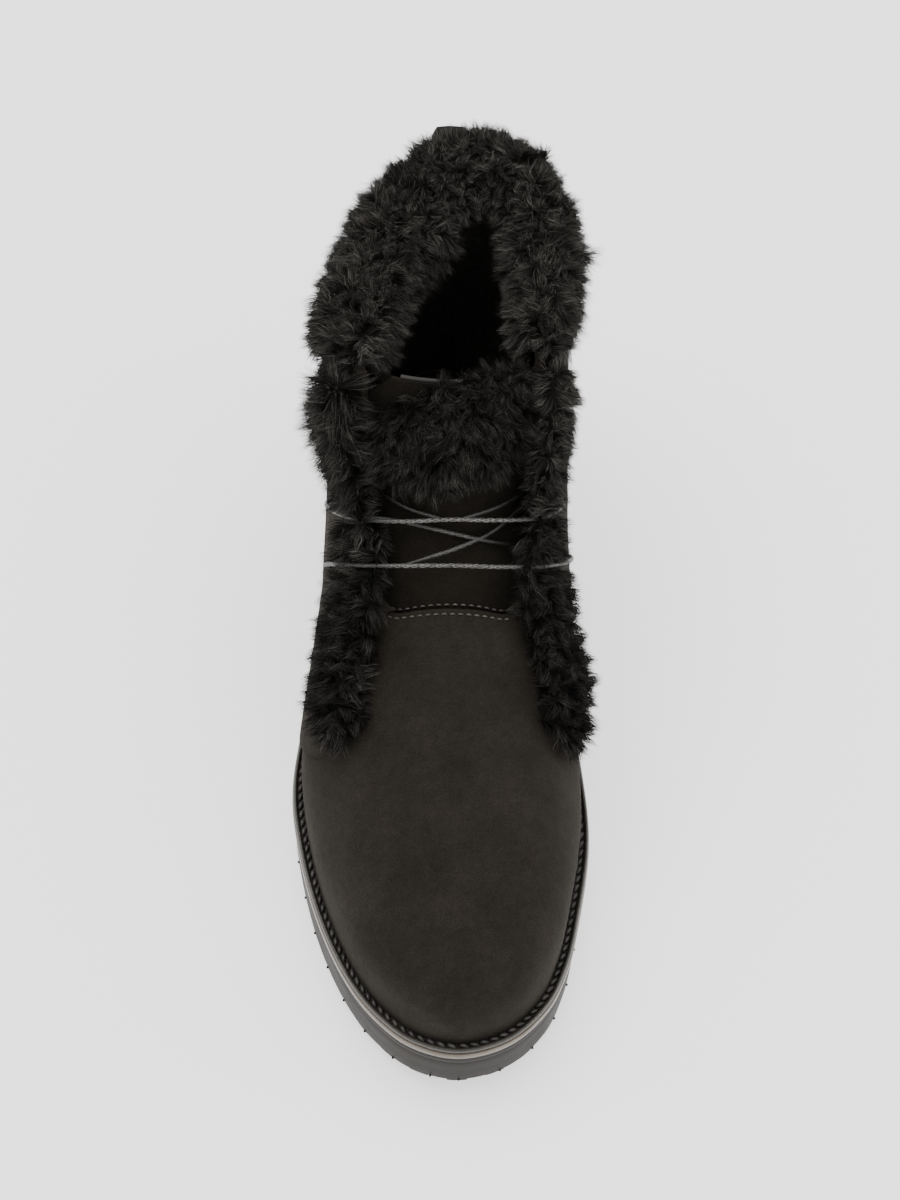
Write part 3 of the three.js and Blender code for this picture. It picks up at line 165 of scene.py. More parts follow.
@dataclass
class Last:
    """Form of the foot that every piece is laid on, in millimetres.

    A place on the upper is a turn of the section plane, from -1 at the toe's tip
    through 0 at the ball to 1 on the level collar, and a whole angle round that
    section, from 0 on the ridge over the lateral side to pi at the far end.
    """

    sole_length: float = 278.0
    ball_width: float = 98.0
    shaft_height: float = 150.0
    feather: float = 21.5
    heel_lift: float = 9.5
    toe_spring: float = 7.0
    toe_rise: float = 6.0
    wall: float = 2.4
    quarter_step: float = 1.2
    welt_reach: float = 3.7
    welt_thickness: float = 3.5
    midsole_thickness: float = 3.0
    clearance: float = 0.3
    lug_depth: float = 4.5
    arch_depth: float = 7.0
    under: float = 8.0
    pivot: tuple[float, float] = (-0.27, 1.067)
    throat_half: float = 0.29
    throat_front: float = -0.055
    throat_back: float = 0.2
    throat_floor: float = 0.44
    arch_front: float = -0.07
    arch_breast: float = 0.195
    outline_rows: tuple[tuple[float, float], ...] = (
        (-0.5, 0.035), (-0.482, 0.2), (-0.437, 0.325), (-0.384, 0.392), (-0.317, 0.436),
        (-0.214, 0.477), (-0.12, 0.462), (0.03, 0.39), (0.18, 0.352), (0.324, 0.345),
        (0.43, 0.272), (0.486, 0.13), (0.5, -0.01), (0.486, -0.15), (0.428, -0.293),
        (0.317, -0.365), (0.18, -0.395), (0.036, -0.445), (-0.137, -0.517), (-0.217, -0.495),
        (-0.317, -0.425), (-0.4, -0.327), (-0.449, -0.234), (-0.485, -0.118),
    )
    feather_rows: tuple[tuple[float, float, float], ...] = (
        (-0.5, 1, 0), (-0.4, 0.42, 0), (-0.3, 0.1, 0), (-0.18, 0, 0), (-0.06, 0, 0.12),
        (0.05, 0, 0.4), (0.16, 0, 0.72), (0.28, 0, 0.92), (0.5, 0, 1),
    )
    tread_rows: tuple[tuple[float, float], ...] = (
        (-0.5, 1), (-0.42, 0.46), (-0.34, 0.12), (-0.27, 0), (0.5, 0),
    )
    ridge_rows: tuple[tuple[float, float], ...] = (
        (-0.489, 0.13), (-0.4885, 0.19), (-0.484, 0.258), (-0.468, 0.322), (-0.436, 0.372),
        (-0.386, 0.408), (-0.322, 0.436), (-0.25, 0.47), (-0.18, 0.51), (-0.118, 0.55),
        (-0.062, 0.6), (-0.018, 0.668), (0.018, 0.745), (0.054, 0.825), (0.09, 0.9),
        (0.122, 0.97), (0.155, 1.06), (0.2, 1.25),
    )
    back_rows: tuple[tuple[float, float], ...] = (
        (0.4885, 0.03), (0.4885, 0.19), (0.497, 0.3), (0.496, 0.41), (0.487, 0.54),
        (0.474, 0.68), (0.467, 0.8), (0.469, 0.92), (0.475, 1.05), (0.486, 1.3),
    )
    section_rows: tuple[tuple[float, ...], ...] = (
        (-1, 0.437, 0.437, 0.3, 0.3, 0.03, 0),
        (-0.5, 0.437, 0.437, 0.3, 0.3, 0.024, 0),
        (0, 0.44, 0.432, 0.3, 0.3, 0.008, 0),
        (0.09, 0.474, 0.447, 0.3, 0.3, 0, 0),
        (0.18, 0.488, 0.446, 0.31, 0.31, 0, 0),
        (0.27, 0.472, 0.434, 0.35, 0.35, 0, 0),
        (0.36, 0.444, 0.418, 0.42, 0.42, 0.004, 0),
        (0.45, 0.42, 0.405, 0.48, 0.48, 0.006, 0.002),
        (0.53, 0.408, 0.398, 0.53, 0.52, 0.008, 0.004),
        (0.6, 0.402, 0.395, 0.56, 0.53, 0.01, 0.008),
        (0.68, 0.398, 0.39, 0.6, 0.52, 0.012, 0.018),
        (0.76, 0.396, 0.384, 0.66, 0.52, 0.014, 0.03),
        (0.84, 0.396, 0.37, 0.72, 0.52, 0.016, 0.045),
        (0.92, 0.398, 0.355, 0.77, 0.52, 0.018, 0.056),
        (1, 0.4, 0.345, 0.8, 0.52, 0.02, 0.06),
        (1.18, 0.4, 0.343, 0.8, 0.52, 0.022, 0.06),
    )
    rounding_rows: tuple[tuple[float, ...], ...] = (
        (-1, 2.3, 7, 7), (-0.5, 2.35, 7, 7), (0, 2.2, 7, 7), (0.09, 2.1, 7, 7),
        (0.18, 2.05, 7, 7), (0.27, 2.05, 7, 7), (0.36, 2.05, 6.5, 6.5), (0.45, 2.1, 5, 5),
        (0.53, 2.15, 3.6, 3.6), (0.6, 2.2, 2.7, 2.7), (0.68, 2.2, 2.2, 2.4),
        (0.76, 2.25, 1.95, 2.3), (0.84, 2.25, 1.75, 2.3), (0.92, 2.25, 1.62, 2.2),
        (1, 2.25, 1.55, 2.15), (1.18, 2.25, 1.55, 2.15),
    )
    collar_rows: tuple[tuple[float, float], ...] = (
        (0.04, 0.955), (0.16, 0.955), (0.28, 0.968), (0.38, 0.985), (0.5, 1),
    )
    quarter_rows: tuple[tuple[float, float], ...] = (
        (-0.1, -0.01), (0.14, -0.02), (0.23, -0.075), (0.31, -0.14), (0.37, -0.174),
        (0.405, -0.178), (0.428, -0.16), (0.462, -0.12), (0.505, -0.07), (0.54, -0.05),
        (0.7, -0.052),
    )
    outlines: dict[float, Points] = field(default_factory=dict)
    lines: dict[float, tuple[Points, Points]] = field(default_factory=dict)
    shift: Points = field(default_factory=lambda: np.zeros(3))

    def settle(self) -> None:
        """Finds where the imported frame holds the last, from the welt's place."""
        low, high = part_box("welt")
        packed = np.array([(low.x + high.x) / 2, (low.y + high.y) / 2]) / MM
        ring = self.outline(0.0)
        self.shift = np.array([*(packed - (ring.min(0) + ring.max(0)) / 2), 0.0])

    def placed(self, points: Points) -> Points:
        """Points of the last in metres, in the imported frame."""
        return (np.asarray(points, float) + self.shift) * MM

    def feather_height(self, y: Points) -> Points:
        """Height of the line where the upper meets the welt."""
        along = np.asarray(y) / self.sole_length
        spring = SmoothLine.of(self.feather_rows, 1)(along) * self.toe_rise
        lift = SmoothLine.of(self.feather_rows, 2)(along) * self.heel_lift
        return self.feather + spring + lift

    def tread_height(self, y: Points) -> Points:
        """Height of the tread's underside."""
        return SmoothLine.of(self.tread_rows)(np.asarray(y) / self.sole_length) * self.toe_spring

    def collar_height(self, y: Points) -> Points:
        """Height of the collar's edge."""
        return SmoothLine.of(self.collar_rows)(np.asarray(y) / self.sole_length) * self.shaft_height

    def quarter_front(self, z: Points) -> Points:
        """Place along the boot of the quarter's front edge at a height."""
        share = np.asarray(z) / self.shaft_height
        return SmoothLine.of(self.quarter_rows)(share) * self.sole_length

    def outsole_top(self, y: Points) -> Points:
        """Height of the joint between outsole and midsole."""
        drop = self.welt_thickness + self.midsole_thickness + 2 * self.clearance
        return self.feather_height(y) - drop

    def outsole_under(self, y: Points) -> Points:
        """Height of the web that the lugs stand under, raised at the arch."""
        along = np.asarray(y) / self.sole_length
        rising = smooth_step(self.arch_front, self.arch_front + 0.12, along)
        falling = 1 - smooth_step(self.arch_breast - 0.012, self.arch_breast + 0.004, along)
        return self.tread_height(y) + self.lug_depth + self.arch_depth * rising * falling

    def outline(self, inset: float, steps: int = 720) -> Points:
        """Closed outline of the sole seen from above, drawn in by an inset."""
        if inset not in self.outlines:
            corners = [(c * self.ball_width, a * self.sole_length) for a, c in self.outline_rows]
            ring = spline(np.array(corners), steps, closed=True)
            heading = np.roll(ring, -1, 0) - np.roll(ring, 1, 0)
            heading /= np.linalg.norm(heading, axis=1)[:, None]
            self.outlines[inset] = ring + inset * np.stack([-heading[:, 1], heading[:, 0]], 1)
        return self.outlines[inset]

    def edge(self, side: Points, y: Points, inset: float) -> Points:
        """Place across where the outline crosses a line at y, on each point's side."""
        ring = self.outline(inset)
        toe, heel = int(ring[:, 1].argmin()), int(ring[:, 1].argmax())
        turned = np.roll(ring, -toe, 0)
        heel = (heel - toe) % len(ring)
        medial = turned[: heel + 1]
        lateral = np.vstack([turned[heel:], turned[:1]])[::-1]
        right = np.interp(y, medial[:, 1], medial[:, 0])
        left = np.interp(y, lateral[:, 1], lateral[:, 0])
        return np.where(np.asarray(side) > 0, right, left)

    def ends(self, inset: float) -> tuple[Points, Points]:
        """Toe tip and heel end of the outline."""
        ring = self.outline(inset)
        return ring[ring[:, 1].argmin()], ring[ring[:, 1].argmax()]

    def side_line(self, rows: Sequence[tuple[float, float]], inset: float, turn: float) -> Points:
        """Line of a side view table, moved inward by an inset."""
        corners = np.array(rows) * (self.sole_length, self.shaft_height)
        around = np.vstack([corners[:1], corners, corners[-1:]])
        share = np.linspace(0, 1, 9)[:-1, None]
        pieces = []
        for p0, p1, p2, p3 in zip(around, around[1:], around[2:], around[3:]):
            t1, t2 = (p2 - p0) / 2, (p3 - p1) / 2
            square, cube = 3 * (p2 - p1) - 2 * t1 - t2, 2 * (p1 - p2) + t1 + t2
            pieces.append(p1 + share * t1 + share**2 * square + share**3 * cube)
        line = np.vstack([*pieces, corners[-1:]])
        heading = np.gradient(line, axis=0)
        heading /= np.linalg.norm(heading, axis=1)[:, None]
        return line + inset * turn * np.stack([heading[:, 1], -heading[:, 0]], 1)

    def profiles(self, inset: float) -> tuple[Points, Points]:
        """Ridge line and far line of the upper's side view at a depth."""
        if inset not in self.lines:
            ridge = self.side_line(self.ridge_rows, inset, 1)
            back = self.side_line(self.back_rows, inset, -1)
            y = np.linspace(-self.sole_length / 2 - self.under, back[0, 0], 61)
            floor = self.feather_height(y) - self.under - inset * 2
            bottom = np.stack([y, floor], 1)
            self.lines[inset] = (ridge, np.vstack([bottom, back[back[:, 1] > floor[-1]]]))
        return self.lines[inset]

    @staticmethod
    def reach(line: Points, start: Points, heading: Points, furthest: bool) -> float:
        """Distance along a ray to a line in the side view, at its near or far crossing."""
        from_start = line - start
        over = heading[0] * from_start[:, 1] - heading[1] * from_start[:, 0]
        crossing = np.nonzero(over[:-1] * over[1:] <= 0)[0]
        a, b = from_start[crossing], from_start[crossing + 1]
        share = (over[crossing] / (over[crossing] - over[crossing + 1] + 1e-12))[:, None]
        distance = (a + (b - a) * share) @ heading
        distance = distance[distance > 0]
        return float(distance.max() if furthest else distance.min())

    def ring(self, turn: float, whole: Points, inset: float) -> Points:
        """Points of the upper's surface round one section.

        Args:
            turn: Turn of the section plane.
            whole: Angles round the section.
            inset: Depth under the outer face, negative outside it.

        Returns:
            One point for each angle.
        """
        pivot = np.array(self.pivot) * (self.sole_length, self.shaft_height)
        start, angle = pivot, math.radians(-90 + 90 * max(turn, 0))
        if turn < 0:
            tip = self.ends(self.welt_reach + inset)[0][1]
            start = np.array([mix(pivot[0], tip, -turn), pivot[1]])
        heading = np.array([math.cos(angle), math.sin(angle)])
        ridge, far = self.profiles(inset)
        near = self.reach(ridge, start, heading, False)
        end = self.reach(far, start, heading, True)
        lat, med, outer, inner, top, tail = (
            float(SmoothLine.of(self.section_rows, k)(turn)) for k in range(1, 7)
        )
        crown, base_l, base_m = (
            float(SmoothLine.of(self.rounding_rows, k)(turn)) for k in range(1, 4)
        )
        whole = np.mod(whole, 2 * math.pi)
        lateral = whole <= math.pi
        side = np.where(lateral, -1.0, 1.0)
        rounds = np.where(lateral, whole, 2 * math.pi - whole)
        c, s = np.cos(rounds), np.clip(np.sin(rounds), 0, 1)
        over = c >= 0
        power = 2 / np.where(over, crown, np.where(lateral, base_l, base_m))
        widest = mix(end, near, np.where(lateral, outer, inner))
        along = widest + (np.where(over, near, end) - widest) * np.abs(c) ** power
        y, z = start[0] + heading[0] * along, start[1] + heading[1] * along
        lean = np.where(over, top, tail) * self.ball_width
        half = side * (np.where(lateral, lat, med) * self.ball_width - inset)
        reach_in = self.welt_reach + inset
        if turn < 0:
            there = self.edge(side, y, reach_in) - lean
            at_pivot = self.edge(side, np.full_like(y, pivot[0]), reach_in) - lean
            half = lean + (half - lean) * np.maximum(there / at_pivot, 0)
        plain = lean + (half - lean) * s**power
        blend = 1 - smooth_step(0, 0.2 * self.shaft_height, z - self.feather_height(y))
        x = mix(plain, self.edge(side, y, reach_in), blend)
        return np.stack([np.where(s < 1e-6, lean, x), y, z], 1)

    def whole_for(self, turn: float, across: Points) -> Points:
        """Angles round the front where the outer face is as far across as asked."""
        rounds = np.linspace(0, math.pi / 2, 61)
        left = self.ring(turn, rounds, 0.0)[:, 0]
        right = self.ring(turn, 2 * math.pi - rounds, 0.0)[:, 0]
        right[0] = left[0]
        across = np.asarray(across, float)
        on_left = np.interp(-across, -left, rounds)
        on_right = np.interp(across, right, rounds)
        return np.where(across < left[0], on_left, 2 * math.pi - on_right)

    def front(self, turn: float, across: Points, lift: Points) -> Points:
        """Points over the front of the upper, by place across and height over it."""
        across, lift = np.atleast_1d(across).astype(float), np.atleast_1d(lift)
        lift = np.broadcast_to(lift, across.shape)
        whole = self.whole_for(turn, across)
        made = np.zeros((len(across), 3))
        for value in np.unique(lift):
            made[lift == value] = self.ring(turn, whole[lift == value], -float(value))
        return made


LAST = Last()


def coordinates(bm: bmesh.types.BMesh) -> Points:
    """Places of a mesh's vertices."""
    return np.array([vert.co for vert in bm.verts])


def set_coordinates(bm: bmesh.types.BMesh, points: Points) -> None:
    """Moves a mesh's vertices to new places."""
    for vert, point in zip(bm.verts, points):
        vert.co = point


def laid_grid(points: Points) -> bmesh.types.BMesh:
    """Grid made by the operator and laid on rows of points, with its seams merged.

    Args:
        points: Rows by columns by three numbers.

    Returns:
        The mesh, whose doubled seams and poles are one vertex each.
    """
    rows, columns = points.shape[0] - 1, points.shape[1] - 1
    bm = bmesh.new()
    bmesh.ops.create_grid(bm, x_segments=columns, y_segments=rows, size=0.5)
    for vert in bm.verts:
        row, column = round((vert.co.y + 0.5) * rows), round((vert.co.x + 0.5) * columns)
        vert.co = points[row, column]
    bmesh.ops.remove_doubles(bm, verts=bm.verts, dist=1e-4)
    return bm


def cut_along(
    bm: bmesh.types.BMesh, axis: int, line: Callable[[Points], Points], keep: int
) -> None:
    """Cuts a mesh along a curved line: sheared until the line is a plane, cut, sheared back.

    Args:
        bm: The mesh.
        axis: The axis that the line is a value of.
        line: Value of the line for each vertex, from its other coordinates.
        keep: 1 keeps what is over the line, -1 what is under it, 0 both.
    """
    points = coordinates(bm)
    points[:, axis] -= line(points)
    set_coordinates(bm, points)
    normal = Vector((0, 0, 0))
    normal[axis] = 1
    bmesh.ops.bisect_plane(
        bm,
        geom=bm.verts[:] + bm.edges[:] + bm.faces[:],
        dist=1e-5,
        plane_co=(0, 0, 0),
        plane_no=normal,
        clear_inner=keep > 0,
        clear_outer=keep < 0,
    )
    points = coordinates(bm)
    points[:, axis] += line(points)
    set_coordinates(bm, points)


def capped(bm: bmesh.types.BMesh) -> bmesh.types.BMesh:
    """Closes a mesh's open rings and turns its faces outward."""
    open_edges = [edge for edge in bm.edges if edge.is_boundary]
    if open_edges:
        bmesh.ops.holes_fill(bm, edges=open_edges, sides=0)
    bmesh.ops.recalc_face_normals(bm, faces=bm.faces)
    return bm


def made_object(bm: bmesh.types.BMesh, name: str) -> bpy.types.Object:
    """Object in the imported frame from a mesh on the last."""
    points = LAST.placed(coordinates(bm))
    set_coordinates(bm, points)
    mesh = bpy.data.meshes.new(name)
    bm.to_mesh(mesh)
    bm.free()
    obj = bpy.data.objects.new(name, mesh)
    bpy.context.scene.collection.objects.link(obj)
    return obj


def apply_modifiers(obj: bpy.types.Object) -> None:
    """Takes the modifiers' result as the object's own mesh."""
    graph = bpy.context.evaluated_depsgraph_get()
    mesh = bpy.data.meshes.new_from_object(obj.evaluated_get(graph))
    obj.modifiers.clear()
    obj.data = mesh


def thickened(obj: bpy.types.Object, thickness: float) -> None:
    """Gives a skin its thickness in millimetres, inward from its outer face."""
    solid = obj.modifiers.new("thickness", "SOLIDIFY")
    solid.thickness = thickness * MM
    solid.offset = -1
    solid.use_even_offset = False
    apply_modifiers(obj)


def array_object(name: str, points: Points, faces: Points, tones: Points) -> bpy.types.Object:
    """Joined mesh of many small things from arrays.

    Args:
        name: The object's name.
        points: All vertices, in metres.
        faces: Corners of every face in order, each row one face; -1 fills a triangle.
        tones: Tone of each vertex, for the material.

    Returns:
        The object.
    """
    used = faces >= 0
    total = used.sum(1)
    mesh = bpy.data.meshes.new(name)
    mesh.vertices.add(len(points))
    mesh.vertices.foreach_set("co", points.astype(np.float32).ravel())
    mesh.loops.add(int(total.sum()))
    mesh.loops.foreach_set("vertex_index", faces[used].astype(np.int32))
    mesh.polygons.add(len(faces))
    starts = np.r_[0, np.cumsum(total)[:-1]]
    mesh.polygons.foreach_set("loop_start", starts.astype(np.int32))
    mesh.update(calc_edges=True)
    tone = mesh.attributes.new("tone", "FLOAT", "POINT")
    tone.data.foreach_set("value", tones.astype(np.float32))
    obj = bpy.data.objects.new(name, mesh)
    bpy.context.scene.collection.objects.link(obj)
    return obj


class NodeTree:
    """Short way to build one material's nodes."""

    def __init__(self, name: str, roughness: float, **sockets: float | Colour) -> None:
        """Starts a material whose shader has the values that are the same all over."""
        self.material = bpy.data.materials.new(name)
        self.material.use_nodes = True
        self.tree = self.material.node_tree
        self.shader = self.tree.nodes["Principled BSDF"]
        self.shader.inputs["Roughness"].default_value = roughness
        for key, value in sockets.items():
            socket = self.shader.inputs[key.replace("_", " ")]
            socket.default_value = (*value, 1.0) if isinstance(value, tuple) else value
        self.place = self.add("ShaderNodeTexCoord").outputs["Object"]

    def add(self, kind: str, **settings: object) -> bpy.types.Node:
        """New node with its settings."""
        node = self.tree.nodes.new(kind)
        for key, value in settings.items():
            setattr(node, key, value)
        return node

    def join(self, source: bpy.types.NodeSocket, node: bpy.types.Node, socket: str | int) -> None:
        """Links an output to a node's input."""
        self.tree.links.new(source, node.inputs[socket])

    def noise(
        self, size: float, detail: float = 3.0, roughness: float = 0.5
    ) -> bpy.types.NodeSocket:
        """Noise whose patches are about as many millimetres across as asked."""
        node = self.add("ShaderNodeTexNoise")
        node.inputs["Scale"].default_value = 1 / (size * MM)
        node.inputs["Detail"].default_value = detail
        node.inputs["Roughness"].default_value = roughness
        self.join(self.place, node, "Vector")
        return node.outputs["Fac"]

    def spread(self, source: bpy.types.NodeSocket, low: float, high: float) -> bpy.types.NodeSocket:
        """Noise's usual range stretched to another."""
        node = self.add("ShaderNodeMapRange")
        for key, value in (("From Min", 0.3), ("From Max", 0.7), ("To Min", low), ("To Max", high)):
            node.inputs[key].default_value = value
        self.join(source, node, "Value")
        return node.outputs["Result"]

    def blend(
        self, share: bpy.types.NodeSocket, low: Colour | bpy.types.NodeSocket, high: Colour
    ) -> bpy.types.NodeSocket:
        """Colour between two others by a share."""
        node = self.add("ShaderNodeMix", data_type="RGBA")
        self.join(share, node, 0)
        if isinstance(low, tuple):
            node.inputs[6].default_value = (*low, 1.0)
        else:
            self.join(low, node, 6)
        node.inputs[7].default_value = (*high, 1.0)
        return node.outputs[2]

    def times(
        self, colour: bpy.types.NodeSocket, factor: bpy.types.NodeSocket
    ) -> bpy.types.NodeSocket:
        """Colour made darker or lighter by a factor."""
        node = self.add("ShaderNodeVectorMath", operation="SCALE")
        self.join(colour, node, 0)
        self.join(factor, node, "Scale")
        return node.outputs[0]

    def plus(
        self, first: bpy.types.NodeSocket, second: bpy.types.NodeSocket, weight: float
    ) -> bpy.types.NodeSocket:
        """Sum of a height and a weighted second one."""
        node = self.add("ShaderNodeMath", operation="MULTIPLY_ADD")
        self.join(second, node, 0)
        node.inputs[1].default_value = weight
        self.join(first, node, 2)
        return node.outputs[0]

    def attribute(self, name: str) -> bpy.types.NodeSocket:
        """Value stored on the mesh."""
        return self.add("ShaderNodeAttribute", attribute_name=name).outputs["Fac"]

    def colour(self, source: bpy.types.NodeSocket) -> None:
        """Sends a colour to the shader."""
        self.join(source, self.shader, "Base Color")

    def roughness(self, source: bpy.types.NodeSocket) -> None:
        """Sends a roughness to the shader."""
        self.join(source, self.shader, "Roughness")

    def bump(self, height: bpy.types.NodeSocket, depth: float, strength: float = 1.0) -> None:
        """Bump as deep as asked, in millimetres."""
        node = self.add("ShaderNodeBump")
        node.inputs["Distance"].default_value = depth * MM
        node.inputs["Strength"].default_value = strength
        self.join(height, node, "Height")
        self.join(node.outputs["Normal"], self.shader, "Normal")


@dataclass(frozen=True)
class SuedeFinish:
    """Brushed suede: nap in soft patches, fine fibres and faint mottling."""

    name: str = "dark_suede"
    dark: Colour = (0.0100, 0.0085, 0.0066)
    light: Colour = (0.0262, 0.0226, 0.0180)
    sheen: float = 0.07

    def build(self) -> bpy.types.Material:
        """Makes the material."""
        nodes = NodeTree(
            self.name, 0.93, Sheen_Weight=self.sheen, Sheen_Roughness=0.45,
            Sheen_Tint=(0.55, 0.5, 0.45), Specular_IOR_Level=0.07,
        )
        patches = nodes.spread(nodes.noise(20.0, 5.0, 0.6), 0.26, 0.74)
        fibres = nodes.noise(0.5, 4.0, 0.7)
        colour = nodes.blend(patches, self.dark, self.light)
        colour = nodes.times(colour, nodes.spread(fibres, 0.62, 1.42))
        colour = nodes.times(colour, nodes.spread(nodes.noise(3.2, 3.0), 0.9, 1.1))
        nodes.colour(colour)
        nodes.bump(nodes.plus(fibres, nodes.noise(4.0, 2.0), 0.8), 0.28)
        return nodes.material


@dataclass(frozen=True)
class FurFinish:
    """Long pile: each hair has its own tone, with painted shade at the root and lighter tips that
    are partly painted glints.
    """

    name: str = "black_pile"
    # Root and tip colours: the near-black root is painted shade deep in the pile; the pale tip is
    # partly the fur's own lighter tips and partly a painted glint.
    root: Colour = (0.0022, 0.0019, 0.0015)
    tip: Colour = (0.1740, 0.1640, 0.1480)
    rough: float = 0.6

    def build(self) -> bpy.types.Material:
        """Makes the material."""
        nodes = NodeTree(
            self.name, self.rough, Specular_IOR_Level=0.06
        )
        tone = nodes.attribute("tone")
        colour = nodes.blend(tone, self.root, self.tip)
        nodes.colour(nodes.times(colour, nodes.spread(nodes.noise(9.0, 2.0), 0.75, 1.3)))
        return nodes.material


@dataclass(frozen=True)
class UndercoatFinish:
    """Dense short wool under the long pile, near black: its own dark colour deepened as painted
    shade in the depth of the pile.
    """

    name: str = "undercoat"
    dark: Colour = (0.0018, 0.0016, 0.0015)
    light: Colour = (0.0070, 0.0063, 0.0057)

    def build(self) -> bpy.types.Material:
        """Makes the material."""
        nodes = NodeTree(self.name, 0.95, Specular_IOR_Level=0.1)
        curls = nodes.noise(1.4, 4.0, 0.65)
        nodes.colour(nodes.blend(nodes.spread(curls, 0.0, 1.0), self.dark, self.light))
        nodes.bump(curls, 1.0)
        return nodes.material


@dataclass(frozen=True)
class RubberFinish:
    """Moulded rubber with fine speckle, dust and faint rubbed streaks."""

    name: str
    dark: Colour
    light: Colour
    gloss: tuple[float, float] = (0.34, 0.52)
    shine: float = 0.45

    def build(self) -> bpy.types.Material:
        """Makes the material."""
        nodes = NodeTree(self.name, 0.45, Specular_IOR_Level=self.shine)
        dust = nodes.noise(11.0, 6.0, 0.65)
        speckle = nodes.noise(0.5, 2.0, 0.6)
        colour = nodes.blend(nodes.spread(dust, 0.0, 1.0), self.dark, self.light)
        nodes.colour(nodes.times(colour, nodes.spread(speckle, 0.86, 1.16)))
        nodes.roughness(nodes.spread(dust, *self.gloss))
        nodes.bump(nodes.plus(speckle, nodes.noise(6.0, 2.0), 0.6), 0.06)
        return nodes.material


@dataclass(frozen=True)
class LeatherFinish:
    """Smooth dyed leather or its raw cut edge, with grain."""

    name: str
    dark: Colour
    light: Colour
    rough: float = 0.5
    grain: float = 0.9

    def build(self) -> bpy.types.Material:
        """Makes the material."""
        nodes = NodeTree(self.name, self.rough, Specular_IOR_Level=0.4)
        grain = nodes.noise(self.grain, 5.0, 0.6)
        colour = nodes.blend(nodes.spread(grain, 0.1, 0.9), self.dark, self.light)
        nodes.colour(nodes.times(colour, nodes.spread(nodes.noise(9.0, 3.0), 0.82, 1.2)))
        nodes.bump(grain, 0.12)
        return nodes.material


@dataclass(frozen=True)
class CordFinish:
    """Waxed braid or thread: dark strands with pale crowns that are painted highlights, broken into
    dots by noise.
    """

    name: str
    dark: Colour
    light: Colour
    rough: float = 0.42

    def build(self) -> bpy.types.Material:
        """Makes the material."""
        nodes = NodeTree(self.name, self.rough, Specular_IOR_Level=0.55)
        # Painted highlight: noise breaks the pale crowns into dotted glints.
        highlight_dots = nodes.noise(1.1, 3.0, 0.7)
        share = nodes.add("ShaderNodeMath", operation="MULTIPLY", use_clamp=True)
        nodes.join(nodes.attribute("tone"), share, 0)
        nodes.join(nodes.spread(highlight_dots, 0.0, 1.0), share, 1)
        nodes.colour(nodes.blend(share.outputs[0], self.dark, self.light))
        nodes.bump(nodes.plus(nodes.attribute("tone"), nodes.noise(0.25, 2.0), 0.4), 0.1)
        return nodes.material


@dataclass(frozen=True)
class FloorFinish:
    """Pale seamless paper."""

    name: str = "pale_paper"
    colour: Colour = (0.90, 0.90, 0.895)
    glow: float = 1.0

    def build(self) -> bpy.types.Material:
        """Makes the material."""
        nodes = NodeTree(
            self.name, 0.9, Specular_IOR_Level=0.1, Emission_Color=(1.0, 1.0, 1.0),
            Emission_Strength=self.glow,
        )
        light = tuple(min(1.0, c * 1.01) for c in self.colour)
        nodes.colour(nodes.blend(nodes.noise(300.0, 2.0), self.colour, light))
        return nodes.material


@dataclass
class Wardrobe:
    """All finishes of the boot, each made once."""

    suede: SuedeFinish = SuedeFinish()
    # A darker copy of the suede: painted shade on the tongue, which sits deep in the throat.
    shaded_tongue_suede: SuedeFinish = SuedeFinish(
        "shaded_tongue_suede", (0.0060, 0.0050, 0.0036), (0.0155, 0.0132, 0.0100), 0.04,
    )
    tab_suede: SuedeFinish = SuedeFinish(
        "tab_suede", (0.010, 0.0088, 0.007), (0.022, 0.019, 0.0155),
    )
    fur: FurFinish = FurFinish()
    undercoat: UndercoatFinish = UndercoatFinish()
    rubber: RubberFinish = RubberFinish(
        "sole_rubber", (0.019, 0.0168, 0.0148), (0.0345, 0.0310, 0.0280), (0.5, 0.66), 0.14,
    )
    strip: RubberFinish = RubberFinish(
        "strip_rubber", (0.116, 0.095, 0.074), (0.192, 0.163, 0.131), (0.2, 0.3), 0.22,
    )
    lip: LeatherFinish = LeatherFinish(
        "lip_leather", (0.026, 0.0225, 0.0185), (0.050, 0.044, 0.037), 0.26,
    )
    edge: LeatherFinish = LeatherFinish(
        "cut_edge", (0.012, 0.0105, 0.009), (0.030, 0.026, 0.022), 0.6, 0.4,
    )
    lining: LeatherFinish = LeatherFinish(
        "fleece_lining", (0.035, 0.031, 0.0285), (0.100, 0.090, 0.082), 0.95, 1.8,
    )
    # The light colour of each cord below is its painted highlight, laid on the crowns of the braid
    # and of the stitches.
    lace: CordFinish = CordFinish("waxed_lace", (0.005, 0.0044, 0.0038), (0.30, 0.285, 0.26))
    thread: CordFinish = CordFinish("seam_thread", (0.014, 0.012, 0.010), (0.11, 0.10, 0.09), 0.6)
    welt_thread: CordFinish = CordFinish(
        "welt_thread", (0.010, 0.009, 0.008), (0.085, 0.078, 0.070), 0.42,
    )
    floor: FloorFinish = FloorFinish()
    made: dict[str, bpy.types.Material] = field(default_factory=dict)

    def get(self, name: str) -> bpy.types.Material:
        """Material of a finish, made when it is first asked for."""
        if name not in self.made:
            self.made[name] = getattr(self, name).build()
        return self.made[name]


WARDROBE = Wardrobe()


